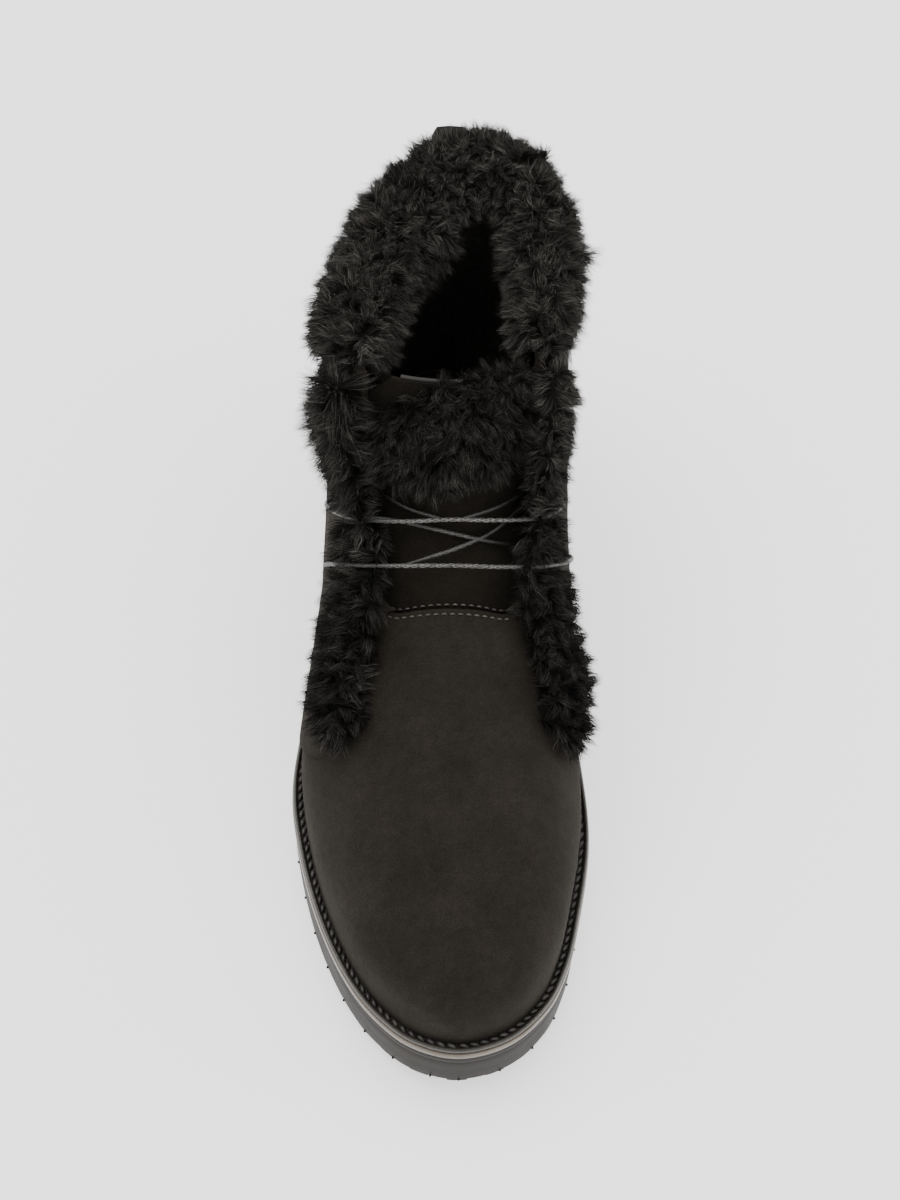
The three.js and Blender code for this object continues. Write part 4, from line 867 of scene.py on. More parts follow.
def dress(
    obj: bpy.types.Object, finish: str, slot: Slot, nodes: Sequence[str], sharp: float = 40.0
) -> bpy.types.Object:
    """Finishes a piece: material, shading, the body it rides on and what it stands for.

    Args:
        obj: The piece.
        finish: Name of its finish in the wardrobe.
        slot: Not used.
        nodes: The solids that it replaces.
        sharp: Angle in degrees over which an edge stays sharp.

    Returns:
        The piece.
    """
    obj.data.materials.clear()
    obj.data.materials.append(WARDROBE.get(finish))
    obj.data.polygons.foreach_set("use_smooth", [True] * len(obj.data.polygons))
    if sharp:
        obj.data.set_sharp_from_angle(angle=math.radians(sharp))
    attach(obj, BODY)
    if nodes:
        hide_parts(*nodes)
    LOG.info("%s: %d faces", obj.name, len(obj.data.polygons))
    return obj


@dataclass
class Studio:
    """Pale floor, soft light and the camera at the photograph's angle."""

    azimuth: float = 2.0
    elevation: float = 55.0
    roll: float = 2.2
    distance: float = 1.0
    focal_share: float = 3040 / 1200
    target: tuple[float, float, float] = (0.6, 10.0, 60.0)
    floor_size: float = 6.0

    def build(self) -> None:
        """Makes the camera, the floor and the lights."""
        self.camera()
        self.floor()
        self.lights()

    def camera(self) -> None:
        """Camera that looks down on the boot from in front of the toe."""
        az, el, roll = (math.radians(a) for a in (self.azimuth, self.elevation, self.roll))
        back = Vector((-math.sin(az) * math.cos(el), -math.cos(az) * math.cos(el), math.sin(el)))
        data = bpy.data.cameras.new("camera")
        data.sensor_width = 36.0
        data.lens = 36.0 * self.focal_share
        data.clip_start, data.clip_end = 0.05, 30.0
        camera = bpy.data.objects.new("camera", data)
        bpy.context.scene.collection.objects.link(camera)
        right = (-back).cross(Vector((0, 0, 1))).normalized()
        up = right.cross(-back)
        turned_right = math.cos(roll) * right + math.sin(roll) * up
        turned_up = math.cos(roll) * up - math.sin(roll) * right
        place = Vector(LAST.placed(self.target)) + back * self.distance
        columns = Matrix((turned_right, turned_up, back)).transposed()
        camera.matrix_world = Matrix.Translation(place) @ columns.to_4x4()
        bpy.context.scene.camera = camera

    def floor(self) -> None:
        """Wide level floor under the soles."""
        bm = bmesh.new()
        bmesh.ops.create_grid(bm, x_segments=4, y_segments=4, size=self.floor_size / 2)
        mesh = bpy.data.meshes.new("floor")
        bm.to_mesh(mesh)
        bm.free()
        floor = bpy.data.objects.new("floor", mesh)
        bpy.context.scene.collection.objects.link(floor)
        mesh.materials.append(WARDROBE.get("floor"))

    def lamp(self, name: str, place: Colour, size: float, power: float) -> None:
        """Square soft light that faces the boot."""
        data = bpy.data.lights.new(name, "AREA")
        data.shape, data.size, data.energy = "SQUARE", size, power
        lamp = bpy.data.objects.new(name, data)
        bpy.context.scene.collection.objects.link(lamp)
        lamp.location = place
        way = Vector((0, 0, 0.05)) - Vector(place)
        lamp.rotation_euler = way.to_track_quat("-Z", "Y").to_euler()

    def lights(self) -> None:
        """Even sky with a large lamp above, one in front and a low panel at each side."""
        world = bpy.data.worlds.new("sky")
        world.use_nodes = True
        sky = world.node_tree.nodes["Background"]
        sky.inputs["Color"].default_value = (1.0, 1.0, 1.0, 1.0)
        sky.inputs["Strength"].default_value = 1.05
        bpy.context.scene.world = world
        self.lamp("key", (-0.3, 0.3, 2.1), 1.6, 31.0)
        self.lamp("front", (0.7, -1.7, 1.3), 1.2, 3.0)
        self.lamp("left_panel", (-1.5, -0.2, 0.45), 0.4, 1.5)
        self.lamp("right_panel", (1.5, -0.2, 0.45), 0.4, 4.0)


@dataclass
class Crease:
    """Soft trough or ridge in the leather, in the boot's own sizes."""

    middle: tuple[float, float, float]
    heading: tuple[float, float, float]
    length: float
    width: float
    depth: float

    def height(self, points: Points) -> Points:
        """How far it sinks or lifts each point, in millimetres."""
        heading = np.array(self.heading) / np.linalg.norm(self.heading)
        away = points - np.array(self.middle)
        along = away @ heading
        beside = np.linalg.norm(away - along[:, None] * heading, axis=1)
        fade = np.exp(-((along / self.length) ** 2))
        return -self.depth * fade * np.exp(-((beside / self.width) ** 2))


@dataclass
class Upper:
    """Vamp and quarters as thin skins over the last, with the lining inside."""

    around: int = 130
    toe_rows: int = 44
    shaft_rows: int = 130
    overlap: float = 7.0
    hole_radius: float = 1.7
    holes: tuple[tuple[float, float], ...] = (
        (0.612, -0.378), (0.632, 0.34), (0.516, -0.38), (0.532, 0.372),
    )
    creases: tuple[Crease, ...] = (
        Crease((-14, -44, 76), (1, 0.25, 0), 22, 5, 0.7),
        Crease((20, -52, 72), (1, -0.3, 0), 18, 6, -0.5),
        Crease((0, -70, 68), (1, 0.05, 0), 26, 8, 0.35),
        Crease((-44, 24, 62), (0, 1, 0.7), 20, 4.5, 1.0),
        Crease((-43, 34, 74), (0, 1, 0.45), 18, 4.5, 0.8),
        Crease((-42, 44, 88), (0, 1, 0.2), 20, 5, 0.7),
        Crease((43, 26, 60), (0, 1, 0.7), 20, 4.5, 0.9),
        Crease((42, 36, 76), (0, 1, 0.4), 18, 4.5, 0.8),
        Crease((40, 48, 92), (0, 1, 0.15), 20, 5, 0.6),
        Crease((-30, 112, 92), (0.4, 1, 0.1), 18, 6, 0.7),
        Crease((28, 114, 84), (-0.5, 1, 0.1), 18, 6, 0.7),
        Crease((0, -104, 58), (1, 0, 0), 22, 10, 0.3),
    )

    def skin(self, inset: float, creased: float) -> bmesh.types.BMesh:
        """Open skin of the whole upper at a depth, cut at the welt line and collar.

        Args:
            inset: Depth under the vamp's outer face.
            creased: How strongly the creases show.

        Returns:
            The mesh on the last.
        """
        toe = -(1 - np.linspace(0, 1, self.toe_rows, endpoint=False) ** 2.2)
        turns = np.r_[toe, np.linspace(0, 1.09, self.shaft_rows)]
        whole = np.linspace(0, 2 * math.pi, self.around + 1)
        bm = laid_grid(np.array([LAST.ring(t, whole, inset) for t in turns]))
        cut_along(bm, 2, lambda p: LAST.feather_height(p[:, 1]) + LAST.clearance, 1)
        cut_along(bm, 2, lambda p: np.where(p[:, 1] > 0, LAST.collar_height(p[:, 1]), 1e3), -1)
        bmesh.ops.recalc_face_normals(bm, faces=bm.faces)
        self.open_throat(bm)
        if creased:
            self.crease(bm, creased)
        return bm

    def throat_edge(self, x: Points) -> Points:
        """Front edge of the throat, arched over the instep and rounded at its corners."""
        half = LAST.throat_half * LAST.ball_width
        share = np.clip((np.abs(x) - 0.5 * half) / (0.5 * half), 0, 1)
        arch = 1.6 * np.clip(x / half, -1, 1) ** 2
        return LAST.throat_front * LAST.sole_length + arch + 0.5 * half * share**2.4

    def open_throat(self, bm: bmesh.types.BMesh) -> None:
        """Cuts the throat between the quarters out of a skin."""
        half = LAST.throat_half * LAST.ball_width
        floor = LAST.throat_floor * LAST.shaft_height
        for side in Side:
            cut_along(bm, 0, lambda p, s=side.value: np.full(len(p), s * half), 0)
        cut_along(bm, 1, lambda p: self.throat_edge(p[:, 0]), 0)
        gone = []
        for face in bm.faces:
            middle = face.calc_center_median()
            behind = middle.y > float(self.throat_edge(np.array([middle.x]))[0])
            ahead = middle.y < LAST.throat_back * LAST.sole_length
            if abs(middle.x) < half and behind and ahead and middle.z > floor:
                gone.append(face)
        bmesh.ops.delete(bm, geom=gone, context="FACES")

    def crease(self, bm: bmesh.types.BMesh, amount: float) -> None:
        """Sinks and lifts the leather where it creases."""
        bm.normal_update()
        points = coordinates(bm)
        normals = np.array([vert.normal for vert in bm.verts])
        height = sum(crease.height(points) for crease in self.creases)
        set_coordinates(bm, points + normals * (amount * height)[:, None])

    def punch(self, bm: bmesh.types.BMesh) -> None:
        """Punches the lace holes: the leather round each is refined, opened and rounded."""
        for turn, across in self.holes:
            foot, tip = (LAST.front(turn, across * LAST.ball_width, h)[0] for h in (1.2, 4.0))
            axis = (tip - foot) / np.linalg.norm(tip - foot)

            def away(point: Vector) -> Points:
                """Vector from the hole's axis to a point."""
                offset = np.array(point) - foot
                offset -= axis * (offset @ axis)
                return offset

            def near(reach: float) -> list[bmesh.types.BMVert]:
                """Vertices round the hole."""
                return [
                    v for v in bm.verts
                    if (v.co - Vector(foot)).length < 12 and np.linalg.norm(away(v.co)) < reach
                ]

            close = set(near(5.5))
            edges = [e for e in bm.edges if e.verts[0] in close and e.verts[1] in close]
            bmesh.ops.subdivide_edges(bm, edges=edges, cuts=3, use_grid_fill=True)
            inside = set(near(self.hole_radius))
            gone = [f for f in bm.faces if all(v in inside for v in f.verts)]
            rim = {v for f in gone for v in f.verts}
            bmesh.ops.delete(bm, geom=gone, context="FACES")
            for vert in rim:
                if vert.is_valid and vert.is_boundary:
                    offset = away(vert.co)
                    grow = self.hole_radius / max(np.linalg.norm(offset), 1e-6) - 1
                    vert.co += Vector(offset * grow)

    def build(self) -> None:
        """Makes the vamp, the quarters and the lining."""
        vamp = self.skin(0.0, 1.0)
        behind = lambda p: LAST.quarter_front(p[:, 2]) + self.overlap
        cut_along(vamp, 1, behind, -1)
        piece = made_object(vamp, "vamp")
        thickened(piece, LAST.wall)
        dress(piece, "suede", Slot.SUEDE, ["upper"])

        quarters = self.skin(-LAST.quarter_step, 1.0)
        cut_along(quarters, 1, lambda p: LAST.quarter_front(p[:, 2]), 1)
        self.punch(quarters)
        piece = made_object(quarters, "quarters")
        thickened(piece, LAST.wall + LAST.quarter_step - 0.2)
        dress(piece, "suede", Slot.SUEDE, ["upper"])

        self.around, self.toe_rows, self.shaft_rows = 72, 20, 70
        lining = self.skin(LAST.wall + 0.25, 0.0)
        piece = made_object(lining, "lining")
        thickened(piece, 1.2)
        dress(piece, "lining", Slot.LINING, [])


@dataclass
class Stitches:
    """Row of small stitches along a path, each a bent capsule."""

    name: str
    finish: str
    pitch: float
    length: float
    radius: float
    slot: Slot
    lift: float = 0.15
    rings: int = 6
    sides: int = 6
    lean: float = 0.0

    def build(self, paths: Sequence[tuple[Points, Points]], nodes: Sequence[str] = ()) -> None:
        """Lays stitches along paths.

        Args:
            paths: Each path's points and the surface normals there, in millimetres.
            nodes: The solids that they stand for.
        """
        points, faces, tones = [], [], []
        share = np.linspace(0, 1, self.rings)
        bulge = np.sqrt(np.clip(1 - (2 * share - 1) ** 4, 0.02, 1))
        arch = np.sin(math.pi * share)
        angle = np.linspace(0, 2 * math.pi, self.sides, endpoint=False)
        count = 0
        for line, normals in paths:
            walked = np.r_[0, np.cumsum(np.linalg.norm(np.diff(line, axis=0), axis=1))]
            for start in np.arange(0, walked[-1] - self.length, self.pitch):
                at = start + share * self.length
                centre = np.stack([np.interp(at, walked, line[:, k]) for k in range(3)], 1)
                up = np.stack([np.interp(at, walked, normals[:, k]) for k in range(3)], 1)
                up /= np.linalg.norm(up, axis=1)[:, None]
                along = np.gradient(centre, axis=0)
                along /= np.linalg.norm(along, axis=1)[:, None]
                across = np.cross(along, up)
                centre += up * (self.lift + self.radius * (0.9 * arch - 0.55))[:, None]
                centre += across * (self.lean * (share - 0.5))[:, None]
                size = self.radius * bulge
                ring = (
                    centre[:, None]
                    + across[:, None] * (size[:, None] * np.cos(angle))[..., None]
                    + up[:, None] * (0.8 * size[:, None] * np.sin(angle))[..., None]
                )
                points.append(ring.reshape(-1, 3))
                # Painted highlight along each stitch's arched middle, a little stronger or weaker
                # from stitch to stitch.
                tones.append(np.repeat(arch * (0.7 + 0.3 * math.sin(start * 7.3)), self.sides))
                for r in range(self.rings - 1):
                    for k in range(self.sides):
                        a = count + r * self.sides + k
                        b = count + r * self.sides + (k + 1) % self.sides
                        faces.append((a, b, b + self.sides, a + self.sides))
                last = count + (self.rings - 1) * self.sides
                for k in range(1, self.sides - 1):
                    faces.append((count, count + k + 1, count + k, -1))
                    faces.append((last, last + k, last + k + 1, -1))
                count += self.rings * self.sides
        places = LAST.placed(np.vstack(points))
        obj = array_object(self.name, places, np.array(faces), np.hstack(tones))
        dress(obj, self.finish, self.slot, nodes, sharp=0)


@dataclass
class FoldSeam:
    """Two rows of stitches beside the fold where the tongue meets the vamp."""

    ahead: float = 1.4
    behind: float = 2.2
    half: float = 20.0

    def row(self, offset: float, inset: float) -> tuple[Points, Points]:
        """One row beside the throat's front edge."""
        x = np.linspace(-self.half, self.half, 60)
        upper = Upper()
        y = upper.throat_edge(x) + offset
        path = np.array([self.on_front(px, py, inset) for px, py in zip(x, y)])
        outer = np.array([self.on_front(px, py, inset - 2.0) for px, py in zip(x, y)])
        normals = outer - path
        return path, normals / np.linalg.norm(normals, axis=1)[:, None]

    @staticmethod
    def on_front(x: float, y: float, inset: float) -> Points:
        """Point of the front face at a place across and along."""
        low, high = 0.25, 0.75
        point = np.zeros(3)
        for _ in range(22):
            turn = (low + high) / 2
            whole = LAST.whole_for(turn, np.array([x]))
            point = LAST.ring(turn, whole, inset)[0]
            low, high = (turn, high) if point[1] < y else (low, turn)
        return point

    def build(self) -> None:
        """Stitches the fold on the vamp and on the tongue."""
        rows = [self.row(-self.ahead, 0.0), self.row(self.behind, LAST.wall - 0.3)]
        Stitches("fold_stitches", "thread", 2.6, 1.95, 0.36, Slot.SUEDE).build(rows)


@dataclass
class Tongue:
    """Suede tongue under the quarters, with its pale cut edge over the fur."""

    thickness: float = 3.0
    lap: float = 4.0
    rows: tuple[tuple[float, float], ...] = (
        (0.37, 0.8), (0.43, 0.93), (0.5, 1), (0.57, 1), (0.64, 1), (0.71, 1), (0.76, 0.98),
        (0.81, 0.94), (0.86, 0.86), (0.895, 0.66),
    )

    def surface(self, inset: float, rows: int, columns: int) -> Points:
        """Rows of points over the tongue."""
        spread = SmoothLine.of(self.rows)
        half = LAST.throat_half * LAST.ball_width + self.lap
        made = []
        for turn in np.linspace(self.rows[0][0], self.rows[-1][0], rows):
            across = np.linspace(-1, 1, columns) * half * float(spread(turn))
            made.append(LAST.front(float(turn), across, -inset))
        return np.array(made)

    def build(self) -> None:
        """Makes the sheet and its cut edge."""
        bm = laid_grid(self.surface(LAST.wall + LAST.clearance, 60, 50))
        bmesh.ops.recalc_face_normals(bm, faces=bm.faces)
        if sum(face.normal.y for face in bm.faces) > 0:
            bmesh.ops.reverse_faces(bm, faces=bm.faces)
        piece = made_object(bm, "tongue_sheet")
        thickened(piece, self.thickness - 0.3)
        dress(piece, "shaded_tongue_suede", Slot.SUEDE, ["tongue"])
        top = self.surface(LAST.wall + LAST.clearance + 1.4, 90, 60)[-1]
        edge = Tube("tongue_edge", 0.7, "edge", Slot.SUEDE, sides=10, flat=0.5)
        edge.build([top[4:-4]], ["tongue"])


@dataclass
class Tube:
    """Smooth or braided tube along paths, closed at its ends."""

    name: str
    radius: float
    finish: str
    slot: Slot
    sides: int = 14
    step: float = 0.5
    flat: float = 1.0
    braid: float = 0.0
    braid_pitch: float = 2.6
    tone: float = 1.0
    lit_half: float = 0.0

    def rings(self, path: Points) -> tuple[Points, Points]:
        """Rings of points round a path and their tones."""
        length = np.linalg.norm(np.diff(path, axis=0), axis=1).sum()
        line = spline(path, max(int(length / self.step), 4))
        heading = np.gradient(line, axis=0)
        heading /= np.linalg.norm(heading, axis=1)[:, None]
        up = np.array([0.0, -0.5, 0.85])
        across = np.cross(heading, up)
        across /= np.linalg.norm(across, axis=1)[:, None]
        up = np.cross(across, heading)
        angle = np.linspace(0, 2 * math.pi, self.sides + 1)
        walked = np.linspace(0, length, len(line))[:, None]
        turn = 2 * math.pi * walked / self.braid_pitch
        weave = np.maximum(np.sin(4 * angle + turn), np.sin(4 * angle - turn))
        size = self.radius * (1 + self.braid * (weave - 0.5))
        made = (
            line[:, None]
            + across[:, None] * (size * np.cos(angle))[..., None]
            + up[:, None] * (self.flat * size * np.sin(angle))[..., None]
        )
        # Painted highlight on the braid's crowns, scaled by the strand's tone.
        tone = self.tone * np.clip(weave, 0, 1)
        # Painted light and shade along the strand: full highlight within lit_half of the middle,
        # dimmed by painted shade towards the ends.
        if self.lit_half:
            tone *= 0.16 + 0.84 * np.exp(-((line[:, :1] / self.lit_half) ** 6))
        return made, tone

    def build(self, paths: Sequence[Points], nodes: Sequence[str] = ()) -> bpy.types.Object:
        """Makes the tubes as one piece.

        Args:
            paths: Points of each strand in order.
            nodes: The solids that they stand for.

        Returns:
            The piece.
        """
        whole = bmesh.new()
        tones = []
        for path in paths:
            made, tone = self.rings(path)
            part = capped(laid_grid(made))
            lookup = KDTree(made.shape[0] * made.shape[1])
            for i, point in enumerate(made.reshape(-1, 3)):
                lookup.insert(point, i)
            lookup.balance()
            flat = tone.ravel()
            tones += [flat[lookup.find(vert.co)[1]] for vert in part.verts]
            mesh = bpy.data.meshes.new("strand")
            part.to_mesh(mesh)
            part.free()
            whole.from_mesh(mesh)
            bpy.data.meshes.remove(mesh)
        obj = made_object(whole, self.name)
        layer = obj.data.attributes.new("tone", "FLOAT", "POINT")
        layer.data.foreach_set("value", np.array(tones, np.float32))
        return dress(obj, self.finish, self.slot, nodes, sharp=60)


@dataclass
class Lace:
    """Round waxed lace: two bars over the tongue and the strands that cross under them."""

    diameter: float = 2.2
    drawn: float = 1.35
    entry: tuple[float, float] = (-0.8, 1.3)
    bars: tuple[tuple[tuple[float, float, float], ...], ...] = (
        (
            (0.628, -0.33, 2.8), (0.642, -0.25, 3.5), (0.65, -0.14, 2), (0.656, 0, 0.6),
            (0.655, 0.14, 2), (0.648, 0.24, 3.4), (0.64, 0.31, 2.8),
        ),
        (
            (0.533, -0.33, 2.8), (0.547, -0.25, 3.5), (0.552, -0.14, 2), (0.553, 0, 0.6),
            (0.552, 0.14, 2), (0.549, 0.25, 3.5), (0.54, 0.33, 2.8),
        ),
    )
    crossings: tuple[tuple[tuple[float, float, float], ...], ...] = (
        ((0.684, -0.262, -0.3), (0.676, -0.19, 0), (0.668, -0.12, 0.5), (0.657, -0.04, 0.5)),
        ((0.682, 0.262, -0.3), (0.676, 0.18, 0), (0.67, 0.11, 0.5), (0.658, 0.04, 0.5)),
        (
            (0.66, 0.262, -0.35), (0.62, 0.14, -0.35), (0.59, 0.02, 0), (0.566, -0.08, 0.5),
            (0.552, -0.14, 1.9),
        ),
        (
            (0.57, 0.262, -0.35), (0.6, 0.12, -0.35), (0.618, 0.02, -0.35), (0.633, -0.1, -0.1),
            (0.644, -0.2, 1.7), (0.643, -0.245, 3.3),
        ),
    )

    def strand(self, rows: Sequence[tuple[float, float, float]]) -> Points:
        """Points of one strand over the front."""
        return np.array([
            LAST.front(turn, across * LAST.ball_width, lift * self.diameter)[0]
            for turn, across, lift in rows
        ])

    def build(self) -> None:
        """Makes the lace."""
        holes = Upper().holes
        paths = []
        for i, bar in enumerate(self.bars):
            (left_turn, left), (right_turn, right) = holes[2 * i], holes[2 * i + 1]
            enter = [(left_turn, left, lift) for lift in self.entry]
            leave = [(right_turn, right, lift) for lift in reversed(self.entry)]
            paths.append(self.strand([*enter, *bar, *leave]))
        # The bars keep their painted highlight over the tongue and are dimmed by painted shade out
        # over the fur.
        braid = Tube(
            "lace_bars", self.drawn / 2, "lace", Slot.CORD, sides=12, step=0.36, braid=0.12,
            lit_half=19.0,
        )
        braid.build(paths, ["lace"])
        crossings = [self.strand(rows) for rows in self.crossings]
        # The crossings are dimmed to about a third: painted shade where they pass under the bars
        # and into the fur.
        replace(braid, name="lace_crossings", tone=0.34, lit_half=8.5).build(crossings, ["lace"])


@dataclass
class Sole:
    """Welt with its raised lip and stitches, midsole strip and lugged outsole."""

    rungs: int = 260
    across: int = 18
    lug_pitch: float = 12.3
    lug_length: float = 7.6
    lug_reach: float = 21.0
    lug_proud: float = -0.45
    wall_inset: float = 0.8
    rim_width: float = 3.2
    rim_raise: float = 1.2
    lug_root: float = 1.5
    lug_round: float = 0.4
    middle_round: float = 0.6
    middle_share: float = 0.7
    middle_slant: float = 28.0
    weld: float = 0.05
    stitch_inset: float = 2.75
    stitch_raise: float = 0.15
    pip_raise: float = 0.6
    lip_profile: tuple[tuple[float, float], ...] = (
        (1.9, -0.4), (1.1, -0.35), (0.55, -0.05), (0.28, 0.4), (0.22, 0.95), (0.36, 1.5),
        (0.72, 1.88), (1.12, 1.9), (1.5, 1.6), (1.7, 1.1), (1.85, 0.45), (2.3, 0.12), (3.2, 0.05),
        (4.2, 0.12), (5.2, 0.1), (5.2, -0.4),
    )
    strip_profile: tuple[tuple[float, float], ...] = (
        (0.55, -3.5), (0.12, -3.3), (0.0, -2.9), (0.0, -1.1), (0.15, -0.75), (0.55, -0.55),
        (1.4, -0.5), (7.9, -0.5), (7.9, -3.5),
    )

    def slab(self, levels: Sequence[tuple[float, Callable[[Points], Points]]]) -> bmesh.types.BMesh:
        """Closed slab of the sole between its underside, first, and its top, last.

        Args:
            levels: Insets from the outline, each with a height that follows the length.

        Returns:
            The mesh on the last.
        """
        share = (1 - np.cos(math.pi * np.linspace(0, 1, self.rungs + 1))) / 2
        sides = {}
        for side in Side:
            rings = []
            for inset, height in levels:
                toe, heel = LAST.ends(inset)
                y = mix(toe[1], heel[1], share)
                x = LAST.edge(np.full_like(y, side.value), y, inset)
                x[0], x[-1] = toe[0], heel[0]
                rings.append(np.stack([x, y, height(y)], 1))
            sides[side] = rings
        left, right = sides[Side.LATERAL], sides[Side.MEDIAL]
        spans = np.linspace(0, 1, self.across + 1)[1:-1]
        under = [mix(right[0], left[0], t) for t in spans]
        over = [mix(left[-1], right[-1], t) for t in spans]
        columns = [*left, *over, *reversed(right), *under, left[0]]
        bm = laid_grid(np.stack(columns, 1))
        bmesh.ops.recalc_face_normals(bm, faces=bm.faces)
        return bm

    def rim(self, profile: Sequence[tuple[float, float]]) -> bmesh.types.BMesh:
        """Closed strip that runs round the sole with one profile over the feather line."""
        rings = []
        for inset, height in (*profile, profile[0]):
            ring = self.closed_outline(inset)
            z = LAST.feather_height(ring[:, 1]) + height
            rings.append(np.column_stack([ring, z]))
        bm = laid_grid(np.stack(rings, 0))
        bmesh.ops.recalc_face_normals(bm, faces=bm.faces)
        return bm

    @staticmethod
    def closed_outline(inset: float) -> Points:
        """The sole's outline with its first point again at the end."""
        ring = LAST.outline(inset)
        return np.vstack([ring, ring[:1]])

    def walked_ring(self) -> tuple[Points, Points]:
        """Outline of the tread's edge blocks, and the way walked along it."""
        ring = self.closed_outline(self.wall_inset - self.lug_proud)
        spans = np.linalg.norm(np.diff(ring, axis=0), axis=1)
        return ring[:-1], np.r_[0, np.cumsum(spans)]

    def lug_along(self, start: float) -> bmesh.types.BMesh:
        """Block of the tread that follows the sole's edge from a place along the outline."""
        ring, walked = self.walked_ring()
        hidden = LAST.outline(self.wall_inset + 1.2)
        inner = LAST.outline(self.wall_inset + self.lug_reach)
        closed = [np.vstack([line, line[:1]]) for line in (ring, hidden, inner)]
        bm = bmesh.new()
        bmesh.ops.create_cube(bm, size=1.0)
        for axis, shares in ((0, (-0.25, 0.0, 0.25)), (1, (-0.25, 0.0, 0.25)), (2, (-0.3, 0.1))):
            for share in shares:
                plane = Vector((0, 0, 0))
                plane[axis] = share
                normal = Vector((0, 0, 0))
                normal[axis] = 1
                whole = bm.verts[:] + bm.edges[:] + bm.faces[:]
                bmesh.ops.bisect_plane(bm, geom=whole, plane_co=plane, plane_no=normal)
        for vert in bm.verts:
            low = vert.co.z < 0
            length = self.lug_length * (0.86 if low else 1.0) * (1 - 0.18 * (vert.co.y + 0.5))
            at = (start + vert.co.x * length) % walked[-1]
            proud, behind, deep = (
                np.array([np.interp(at, walked, line[:, k]) for k in range(2)]) for line in closed
            )
            spot = mix(proud if vert.co.z < -0.2 else behind, deep, vert.co.y + 0.5)
            ground, root = LAST.tread_height(spot[1]), LAST.outsole_under(spot[1]) + self.lug_root
            z = mix(ground, root, min(max(vert.co.z + 0.5, 0.0), 1.0))
            vert.co = (*spot, float(z))
        rims = [e for e in bm.edges if e.calc_face_angle(0) > 0.9]
        bmesh.ops.bevel(
            bm, geom=rims, offset=self.lug_round, offset_type="OFFSET", segments=2, profile=0.5,
            affect="EDGES", clamp_overlap=True, material=-1,
        )
        return bm

    def lug_middle(self, x: float, y: float, width: float, turn: float) -> bmesh.types.BMesh:
        """Slanted block of the tread between the edge blocks."""
        bm = bmesh.new()
        bmesh.ops.create_cube(bm, size=1.0)
        bmesh.ops.scale(bm, vec=(width, self.lug_length, 1.0), verts=bm.verts)
        slant = Matrix.Rotation(math.radians(turn), 3, "Z")
        bmesh.ops.rotate(bm, cent=(0, 0, 0), matrix=slant, verts=bm.verts)
        for vert in bm.verts:
            spot_y = vert.co.y + y
            low = vert.co.z < 0
            z = LAST.tread_height(spot_y) if low else LAST.outsole_under(spot_y) + self.lug_root
            vert.co = (vert.co.x * (0.94 if low else 1.0) + x, spot_y, float(z))
        bmesh.ops.bevel(
            bm, geom=bm.edges[:], offset=self.middle_round, offset_type="OFFSET", segments=2,
            profile=0.5, affect="EDGES", material=-1,
        )
        return bm

    def tread(self) -> list[bmesh.types.BMesh]:
        """All blocks of the tread."""
        ring, walked = self.walked_ring()
        count = int(walked[-1] // self.lug_pitch)
        front, back = (s * LAST.sole_length for s in (LAST.arch_front, LAST.arch_breast))
        blocks = []
        for i in range(count):
            at = walked[-1] * i / count
            y = float(np.interp(at, walked[:-1], ring[:, 1]))
            if y < front + self.lug_pitch or y > back + self.lug_length * 0.7:
                blocks.append(self.lug_along(at))
        half = LAST.sole_length / 2
        rows = np.r_[
            np.arange(-half + 2.4 * self.lug_pitch, front + self.lug_pitch, self.lug_pitch),
            np.arange(back + self.lug_length, half - 2.2 * self.lug_pitch, self.lug_pitch),
        ]
        for i, y in enumerate(rows):
            left, right = (float(LAST.edge(s.value, y, 0.0)) for s in Side)
            room = right - left - 2 * self.lug_reach
            if room > self.lug_length:
                turn = self.middle_slant if i % 2 else -self.middle_slant
                width = room * self.middle_share
                blocks.append(self.lug_middle((left + right) / 2, y, width, turn))
        for block in blocks:
            points = coordinates(block)
            points[:, 2] = np.maximum(points[:, 2], LAST.tread_height(points[:, 1]))
            set_coordinates(block, points)
            bmesh.ops.remove_doubles(block, verts=block.verts[:], dist=self.weld)
            bmesh.ops.dissolve_degenerate(block, dist=0.02, edges=block.edges[:])
        return blocks

    def stitch_path(self) -> tuple[Points, Points]:
        """Line of the welt's stitches round the boot."""
        ring = self.closed_outline(self.stitch_inset)
        path = np.column_stack([ring, LAST.feather_height(ring[:, 1]) + self.stitch_raise])
        return path, np.tile([0.0, 0.0, 1.0], (len(path), 1))

    def pip_path(self) -> tuple[Points, Points]:
        """Line of the small moulding pips at the foot of the sole's wall."""
        ring = self.closed_outline(self.wall_inset)
        under = LAST.outsole_under(ring[:, 1]) - LAST.lug_depth + self.rim_raise + self.pip_raise
        outward = np.gradient(ring, axis=0)
        outward /= np.linalg.norm(outward, axis=1)[:, None]
        normals = np.column_stack([outward[:, 1], -outward[:, 0], np.zeros(len(ring))])
        return np.column_stack([ring, under]), normals

    def build(self) -> None:
        """Makes the welt, the midsole, the outsole and their stitches."""
        lip = made_object(self.rim(self.lip_profile), "welt_lip")
        dress(lip, "lip", Slot.WELT, ["welt"])
        strip = made_object(self.rim(self.strip_profile), "welt_strip")
        dress(strip, "strip", Slot.MIDSOLE, ["welt"])
        Stitches(
            "welt_stitches", "welt_thread", 3.3, 3.5, 0.85, Slot.WELT, lift=0.35, lean=1.2, sides=8
        ).build([self.stitch_path()])

